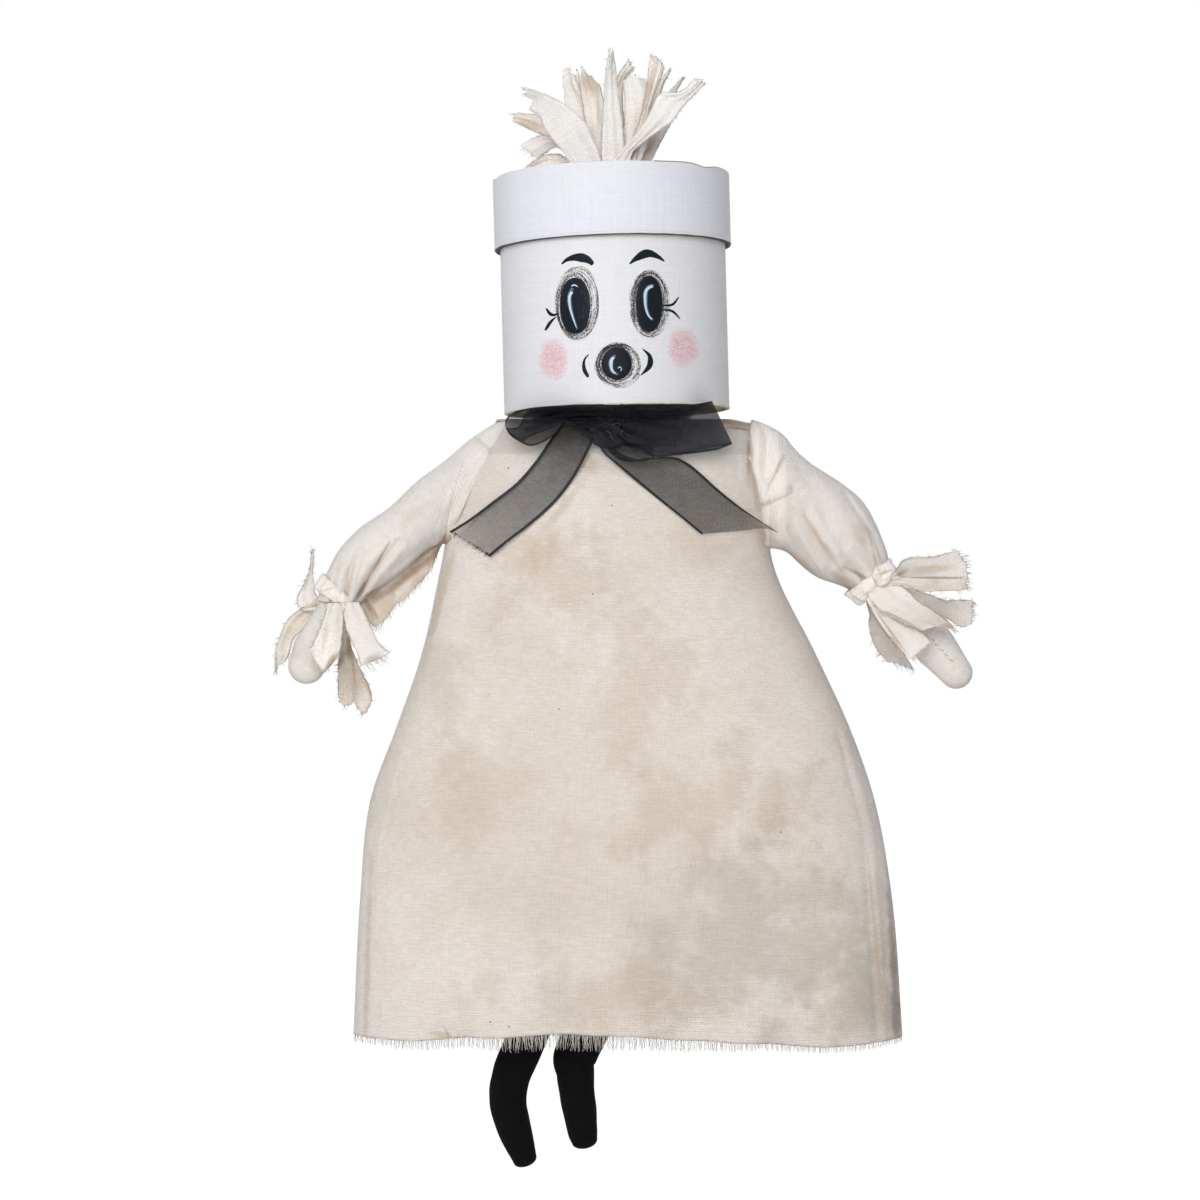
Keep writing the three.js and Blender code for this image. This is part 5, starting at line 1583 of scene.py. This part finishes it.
LEGS = {
    "left": ("leg_l", [[-16, -156.3, 10, 9.5], [-32, -203, 10.5, 9.5], [-48.4, -243, 11, 9.5],
                       [-55, -260, 10.6, 9.5], [-56, -275, 10, 9], [-51.8, -290, 9, 8], [-47, -303.4, 6.6, 6]]),
    "right": ("leg_r", [[24, -156.3, 10, 9.5], [4, -203, 10.8, 9.5], [-18, -243, 12, 9.5], [-19.6, -258, 10.4, 9.5],
                        [-17.4, -277, 9.2, 9], [-15.8, -288, 8.2, 7.5], [-14.6, -293.4, 7.0, 6]]),
}


def leg_relief(spot, u, narrow):
    """Lumps of the stuffing, and the groove of the seam."""
    lump = 0.35 * noise.noise(Vector((spot.x / 6, spot.y / 6, spot.z / 9)))
    seam = 0.5 * math.exp(-((min(u, 1 - u)) / 0.018) ** 2)
    return spot + Vector((lump - seam, lump, 0)) * narrow


def build_legs():
    for name, (body, stations) in LEGS.items():
        skin = limb(stations, 2.15, plane=-37.0, relief=leg_relief, tip=0.6)
        piece = formed("leg_stuffed_" + name, 40, 80, skin, (62, 175), closed=True)
        dress_piece(piece, body, finish("Black cotton"), ["leg_" + name])


# Bow

KNOT = Vector((-8, -84.5, 89))
KNOT_ACROSS = 600
# Each layer of a loop: its upper and lower edge from the knot outwards, how far it lies behind the front,
# and its share of the ribbon's width
# The layers that lie 2 mm or more behind the front and start at the top, just under the box's floor, are extra ribbon
# that darkens the band there: painted shade from the box over the real band.
LOOPS = {
    "left": [
        ([(606, 405), (575, 405), (548, 406), (524, 409), (511, 413.5), (505.5, 420), (505, 425)],
         [(602, 438), (583, 430), (565.4, 421), (556, 433), (546, 440.5), (538, 444.5), (530, 446), (521, 442.5),
          (508.5, 433.5), (505, 425)], 4.0, (0, 1)),
        ([(606, 405), (575, 405), (552, 406), (532, 410), (524, 414), (522, 421), (517, 427), (505.6, 428)],
         [(602, 434), (582, 426), (566, 421), (552, 428), (542, 432), (532, 436), (521, 441.5), (509, 434),
          (505.6, 428)], 0.0, (0, 1)),
        ([(600, 408), (560, 409), (525, 413)], [(600, 418), (560, 414), (524, 417)], -0.9, (0.2, 0.4)),
        ([(600, 412), (560, 414.5), (523, 421)], [(600, 424), (560, 420), (523, 424)], -1.5, (0.3, 0.6)),
        ([(598, 418), (562, 419.5), (524, 428)], [(596, 430), (562, 423.5), (526, 433)], -1.1, (0.5, 0.7)),
        ([(590, 405), (565, 411), (540, 420)], [(590, 428), (566, 420), (540, 426)], -2.0, (0.3, 0.5)),
        ([(604, 405), (570, 405.5), (536, 409)], [(604, 420), (570, 417), (540, 419)], -2.6, (0.2, 0.7)),
        ([(604, 404), (574, 404.5), (542, 407)], [(604, 426), (576, 419), (552, 419)], -3.0, (0.3, 0.8)),
        ([(604, 404), (570, 404.5), (530, 410)], [(604, 432), (572, 422), (534, 424)], -3.4, (0.2, 0.8)),
    ],
    "right": [
        ([(596, 406), (626, 408), (648, 412), (682, 408), (701, 403), (712, 401)],
         [(604, 444), (620, 443.5), (636, 446.5), (656, 457), (674, 455.5), (700, 452.6), (718, 449.6), (732.6, 444)],
         4.0, (0, 1)),
        ([(596, 406), (626, 408), (650, 412.6), (682, 409), (700, 404), (712, 401)],
         [(604, 442), (622, 441), (640, 446), (656, 453), (674, 453), (700, 449.6), (716, 447), (732.6, 444)],
         0.0, (0, 1)),
        ([(604, 408), (640, 412), (675, 414)], [(604, 424), (640, 426), (672, 424)], -0.9, (0.2, 0.45)),
        ([(606, 414), (638, 424), (668, 434)], [(606, 432), (636, 438), (664, 444)], -1.5, (0.3, 0.6)),
        ([(604, 424), (630, 434), (654, 448)], [(603, 443), (622, 442), (652, 454)], -2.0, (0.5, 0.75)),
        ([(598, 405), (640, 406), (690, 406)], [(598, 424), (640, 424), (686, 420)], -2.4, (0.2, 0.6)),
        ([(598, 404), (640, 404), (700, 404)], [(598, 430), (640, 434), (680, 436)], -2.8, (0.3, 0.8)),
        ([(598, 405), (636, 406), (680, 408)], [(600, 442), (640, 443), (676, 448)], -3.2, (0.2, 0.8)),
        ([(603, 443), (620, 443), (638, 447), (655, 457)], [(610, 453), (620, 460), (638, 462), (655, 458.4)], 2.5,
         (0, 1)),
    ],
}
TAILS = {
    "left": ([(578, 406), (563, 422.4), (551, 438), (536, 460), (517, 482), (493, 501), (468.5, 519.4), (449, 531.5)],
             [(600, 422), (592.6, 441.8), (586, 456), (574, 478), (555.7, 502), (529, 526), (508, 542), (490, 557)],
             [(490, 557), (449, 531.5)]),
    "right": ([(612, 447), (626, 456), (645, 459.5), (660, 457.5), (677, 458), (689, 463.7), (701, 473.4),
               (718, 489), (742.4, 508.5), (778.8, 532.8)],
              [(598, 444), (603, 452.5), (614, 462.5), (631, 477), (657.5, 498.8), (681.8, 518), (701, 534)],
              [(701, 534), (723, 532.3), (742.4, 530.8), (759.4, 528.4), (769, 529), (778.8, 532.8)]),
}
# Painted highlights: short grey threads on the knot where light glints off it.
GLINTS = [
    [(612, 424.5), (619.6, 423.5), (618.5, 429), (624, 432)], [(622, 430), (621.4, 434), (623, 437), (626.5, 439.7)],
    [(607, 431), (611, 434), (611.6, 438), (615, 441)], [(598, 418), (606, 421), (611, 420), (617, 417)],
]


def layered(name, along, layers):
    """Ribbon lying in layers, as one piece: each has its place(u, v) and its part of the width."""
    mesh = bmesh.new()
    chart = mesh.loops.layers.uv.new("UVMap")
    edge, across = sizes().selvage / MM, 20
    share = 1 / across
    for place, (low, high) in layers:
        made = add_grid(mesh, chart, across, along, lambda u, v: (mix(low, high, u) * RIBBON * MM, v * 0.07))
        for vert in made:
            u, v = clamp(vert.co.x + 0.5), clamp(vert.co.y + 0.5)
            if (low, high) == (0, 1):
                wide = (Vector(place(1, v)) - Vector(place(0, v))).length
                narrow = min(edge / max(wide, 0.01), 0.3)
                if u <= share:
                    u = u / share * narrow
                elif u >= 1 - share:
                    u = 1 - (1 - u) / share * narrow
                else:
                    u = mix(narrow, 1 - narrow, (u - share) / (1 - 2 * share))
            vert.co = Vector(place(u, v)) * MM
    return placed(mesh, name)


def bow_band(u, v):
    """Where the ribbon round the neck is, u round the neck and v round the ribbon."""
    angle, turn = 2 * math.pi * u, 2 * math.pi * v
    height = -7.8 + 6.0 * math.cos(turn)
    radius = 17.3 + 0.55 * math.sin(turn) + 0.2 * math.sin(4 * math.cos(turn) * 2 + angle * 3)
    return HEAD @ Vector((radius * math.cos(angle), radius * math.sin(angle), height))


def bow_knot(u, v):
    """Where the bow's knot is, narrow below and wide above."""
    angle, rise = 2 * math.pi * u, math.pi * (v - 0.5)
    out = max(math.cos(rise), 0.0) ** 0.8 if 0.001 < v < 0.999 else 0.0
    pleat = 1 + 0.16 * math.sin(angle * 5 + math.sin(rise * 3) * 2) + 0.08 * math.sin(angle * 9)
    x = mix(7.5, 13.0, v) * out * pleat * math.cos(angle) + mix(6.8, 4.8, v)
    return KNOT + Vector((x, min(4.8 * out * pleat * math.sin(angle), 1.8), 9.6 * math.sin(rise)))


def loop_place(upper, lower, back, far_end):
    """Where a layer of a loop is. It leans on the box's edge, and stays under the box's floor."""
    high, low = path(upper), path(lower)

    def place(u, v):
        spot = low(v).lerp(high(v), u)
        from_knot = abs(spot.x - KNOT_ACROSS)
        far = clamp(from_knot / far_end)
        edge = HEAD.translation.y - math.sqrt(max(WALL**2 - (at(spot.x, 404, -110).x - 2.7) ** 2, 100))
        lean = ease(0.3, 1.0, u) * clamp((420 - spot.y) / 12)
        y = -85.5 - 6 * far + back * math.sin(math.pi * clamp(0.12 + v)) ** 0.5 * (1 - v)
        y = mix(y, max(edge + 5, -113), lean * 0.85)
        y -= 0.9 * math.sin(math.atan2(spot.y - 416, from_knot + 4) * 22 + back) * (1 - 0.7 * far)
        roof = 100.1 + 0.0262 * ((spot.x - KNOT_ACROSS) * 0.5 - 9)
        y = max(min(y, EYE.y + roof / max((600 - spot.y) * PIXEL, 0.01)), -124.5)
        return at(spot.x, spot.y, y)

    return place


def tail_place(upper, lower, end):
    """Where a tail is. It falls from the knot onto the dress's front."""
    high, low, close = path(upper), path(lower), path(end, bent=False)

    def place(u, v):
        spot = low(v).lerp(high(v), u)
        spot += (close(u) - low(1).lerp(high(1), u)) * ease(0.7, 1.0, v)
        guess = at(spot.x, spot.y, -84)
        front = dress_front_at(guess.x, guess.z)
        y = front - 1.6 - 6.5 * (1 - v) ** 4 - 0.9 * (1 + math.sin(v * 9 + u * 2)) * v
        y -= 1.2 * math.exp(-((u - 0.55) / 0.12) ** 2) * (1 - v) ** 1.5
        y = mix(y, min(y, -74.0), ease(60, 80, abs(guess.x - 1)))
        return at(spot.x, spot.y, y)

    return place


def build_bow():
    dense = finish("Black organza gathered")
    dress_piece(formed("bow_band", 96, 16, bow_band, (106, 26), closed=True), "torso", dense,
                ["ribbon_band"])
    dress_piece(formed("bow_knot", 60, 30, bow_knot, (25, 20), closed=True), "torso", dense,
                ["ribbon_knot"])
    # Grey threads on the knot as painted highlights.
    runs = [[at(px, py, -90.8) for px, py in run] for run in GLINTS]
    dress_piece(threads("bow_knot_glints", runs, 0.34, 12), "torso", finish("Grey thread"))
    for name, rows in LOOPS.items():
        far_end = 95 if name == "left" else 132
        layers = [(loop_place(upper, lower, back, far_end), part) for upper, lower, back, part in rows]
        piece = layered("bow_loop_" + name, 50, layers)
        dress_piece(piece, "torso", dense, ["ribbon_loop_" + name])
    tails = [("left", "Black organza", 70, (0.8, 3.0)), ("right", "Black organza tail", 24, (0.4, 1.0))]
    for name, look, many, reaches in tails:
        place = tail_place(*TAILS[name])
        piece = layered("bow_tail_" + name, 70, [(place, (0, 1))])
        dress_piece(piece, "torso", finish(look), ["ribbon_tail_" + name])
        rng = random.Random(len(name))
        runs = []
        for _ in range(many):
            u = rng.uniform(0.06, 0.94)
            root = Vector(place(u, 0.985))
            out = (Vector(place(u, 1.0)) - Vector(place(u, 0.94))).normalized()
            reach = rng.uniform(*reaches)
            drift = Vector((rng.uniform(-0.3, 0.3), rng.uniform(-0.2, 0.2), rng.uniform(-0.4, 0.2)))
            runs.append(wisp(root, out, drift, reach))
        frays = threads("bow_threads_" + name, runs, 0.22, 3)
        dress_piece(frays, "torso", finish("Black thread"))


# Stage

def shown_white(tree, lit, white, share, end):
    """Lights the doll with one shader, and shows the white one to the camera and in glossy and clear surfaces."""
    rays = node(tree, "ShaderNodeLightPath")
    camera, gloss, glass = [Wire(tree, rays.outputs["Is " + kind + " Ray"])
                            for kind in ("Camera", "Glossy", "Transmission")]
    seen = camera.reckon("MAXIMUM", gloss.reckon("MAXIMUM", glass)) * share
    node(tree, end, {0: wire(tree, "ShaderNodeMixShader", {0: seen, 1: lit, 2: white})})


def build_stage():
    scene = bpy.context.scene
    scene.view_settings.view_transform = "Standard"
    camera = bpy.data.objects.new("Camera", bpy.data.cameras.new("Camera"))
    scene.collection.objects.link(camera)
    camera.data.sensor_width = 36.0
    camera.data.lens = 87.0
    camera.data.clip_end = 50.0
    camera.location = EYE * MM
    camera.rotation_euler = (math.pi / 2, 0, 0)
    scene.camera = camera
    lamps = [("Soft front", (-0.35, -2.0, 0.75), 1.6, 30.5), ("Left side", (-1.8, -0.6, 0.3), 1.6, 2.2),
             ("Back", (0.2, 1.7, 1.1), 2.0, 8.0)]
    for name, place, size, watts in lamps:
        data = bpy.data.lights.new(name, "AREA")
        data.shape = "DISK"
        data.size = size
        data.energy = watts
        lamp = bpy.data.objects.new(name, data)
        lamp.location = place
        lamp.rotation_euler = (-Vector(place)).to_track_quat("-Z", "Y").to_euler()
        scene.collection.objects.link(lamp)
    scene.world = bpy.data.worlds.new("Pale room")
    tree = own_tree(scene.world)
    lit = wire(tree, "ShaderNodeBackground", {"Color": (0.93, 0.95, 1.0, 1), "Strength": 0.36})
    white = wire(tree, "ShaderNodeBackground", {"Color": (1, 1, 1, 1), "Strength": 1.0})
    shown_white(tree, lit, white, 1.0, "ShaderNodeOutputWorld")
    mesh = bmesh.new()
    bmesh.ops.create_circle(mesh, cap_ends=True, cap_tris=False, segments=96, radius=3.2)
    bmesh.ops.translate(mesh, verts=mesh.verts, vec=(0, 0, FLOOR_HEIGHT * MM))
    ground = placed(mesh, "Floor", False)
    look = bpy.data.materials.new("Pale floor")
    tree = own_tree(look)
    matte = wire(tree, "ShaderNodeBsdfDiffuse", {"Color": (0.9, 0.9, 0.9, 1)})
    white = wire(tree, "ShaderNodeEmission", {"Color": (1, 1, 1, 1), "Strength": 1.1})
    shown_white(tree, matte, white, 0.9, "ShaderNodeOutputMaterial")
    ground.data.materials.append(look)


class ARTDOLL_OT_stage(bpy.types.Operator):
    """Sets the floor, the soft light and the camera"""

    bl_idname = "artdoll.stage"
    bl_label = "Stage"

    def execute(self, context):
        build_stage()
        return {"FINISHED"}


class ARTDOLL_OT_box(bpy.types.Operator):
    """Makes the gift box and its lid from board and linen paper"""

    bl_idname = "artdoll.box"
    bl_label = "Gift box"

    def execute(self, context):
        build_box()
        return {"FINISHED"}


class ARTDOLL_OT_face(bpy.types.Operator):
    """Paints the face on the box"""

    bl_idname = "artdoll.face"
    bl_label = "Painted face"

    def execute(self, context):
        build_face()
        return {"FINISHED"}


class ARTDOLL_OT_hair(bpy.types.Operator):
    """Makes the torn strips that stand on the lid"""

    bl_idname = "artdoll.hair"
    bl_label = "Hair"

    def execute(self, context):
        build_hair()
        return {"FINISHED"}


class ARTDOLL_OT_body(bpy.types.Operator):
    """Makes the stuffed torso and neck"""

    bl_idname = "artdoll.body"
    bl_label = "Torso and neck"

    def execute(self, context):
        build_torso()
        build_neck()
        return {"FINISHED"}


class ARTDOLL_OT_dress(bpy.types.Operator):
    """Makes the dress's two panels and the frayed hem"""

    bl_idname = "artdoll.dress"
    bl_label = "Dress"

    def execute(self, context):
        build_dress()
        return {"FINISHED"}


class ARTDOLL_OT_arms(bpy.types.Operator):
    """Makes the stuffed arms and their sleeves"""

    bl_idname = "artdoll.arms"
    bl_label = "Arms"

    def execute(self, context):
        build_arms()
        return {"FINISHED"}


class ARTDOLL_OT_hands(bpy.types.Operator):
    """Makes the wrist ties and the torn strips at the hands"""

    bl_idname = "artdoll.hands"
    bl_label = "Cuffs"

    def execute(self, context):
        build_hands()
        return {"FINISHED"}


class ARTDOLL_OT_legs(bpy.types.Operator):
    """Makes the stuffed legs"""

    bl_idname = "artdoll.legs"
    bl_label = "Legs"

    def execute(self, context):
        build_legs()
        return {"FINISHED"}


class ARTDOLL_OT_bow(bpy.types.Operator):
    """Ties the organza bow"""

    bl_idname = "artdoll.bow"
    bl_label = "Bow"

    def execute(self, context):
        build_bow()
        return {"FINISHED"}


OPERATORS = (ARTDOLL_OT_stage, ARTDOLL_OT_box, ARTDOLL_OT_face, ARTDOLL_OT_hair, ARTDOLL_OT_body, ARTDOLL_OT_dress,
             ARTDOLL_OT_arms, ARTDOLL_OT_hands, ARTDOLL_OT_legs, ARTDOLL_OT_bow)


class ARTDOLL_PT_panel(bpy.types.Panel):
    """Lists the doll's sizes, colours and pieces"""

    bl_label = "Art doll"
    bl_idname = "ARTDOLL_PT_panel"
    bl_space_type = "VIEW_3D"
    bl_region_type = "UI"
    bl_category = "Art doll"

    def draw(self, context):
        for group in (context.scene.art_doll_sizes, context.scene.art_doll_colours):
            for name in group.bl_rna.properties.keys():
                if name not in ("rna_type", "name"):
                    self.layout.prop(group, name)
        for operator in OPERATORS:
            self.layout.operator(operator.bl_idname)


CLASSES = (ArtDollSizes, ArtDollColours, *OPERATORS, ARTDOLL_PT_panel)


def register():
    for made in CLASSES:
        bpy.utils.register_class(made)
    bpy.types.Scene.art_doll_sizes = bpy.props.PointerProperty(type=ArtDollSizes)
    bpy.types.Scene.art_doll_colours = bpy.props.PointerProperty(type=ArtDollColours)


def unregister():
    del bpy.types.Scene.art_doll_colours
    del bpy.types.Scene.art_doll_sizes
    for made in reversed(CLASSES):
        bpy.utils.unregister_class(made)


def main():
    register()
    bpy.ops.artdoll.stage()
    bpy.ops.artdoll.box()
    bpy.ops.artdoll.face()
    bpy.ops.artdoll.hair()
    bpy.ops.artdoll.body()
    bpy.ops.artdoll.dress()
    bpy.ops.artdoll.arms()
    bpy.ops.artdoll.hands()
    bpy.ops.artdoll.legs()
    bpy.ops.artdoll.bow()


if __name__ == "__main__":
    main()
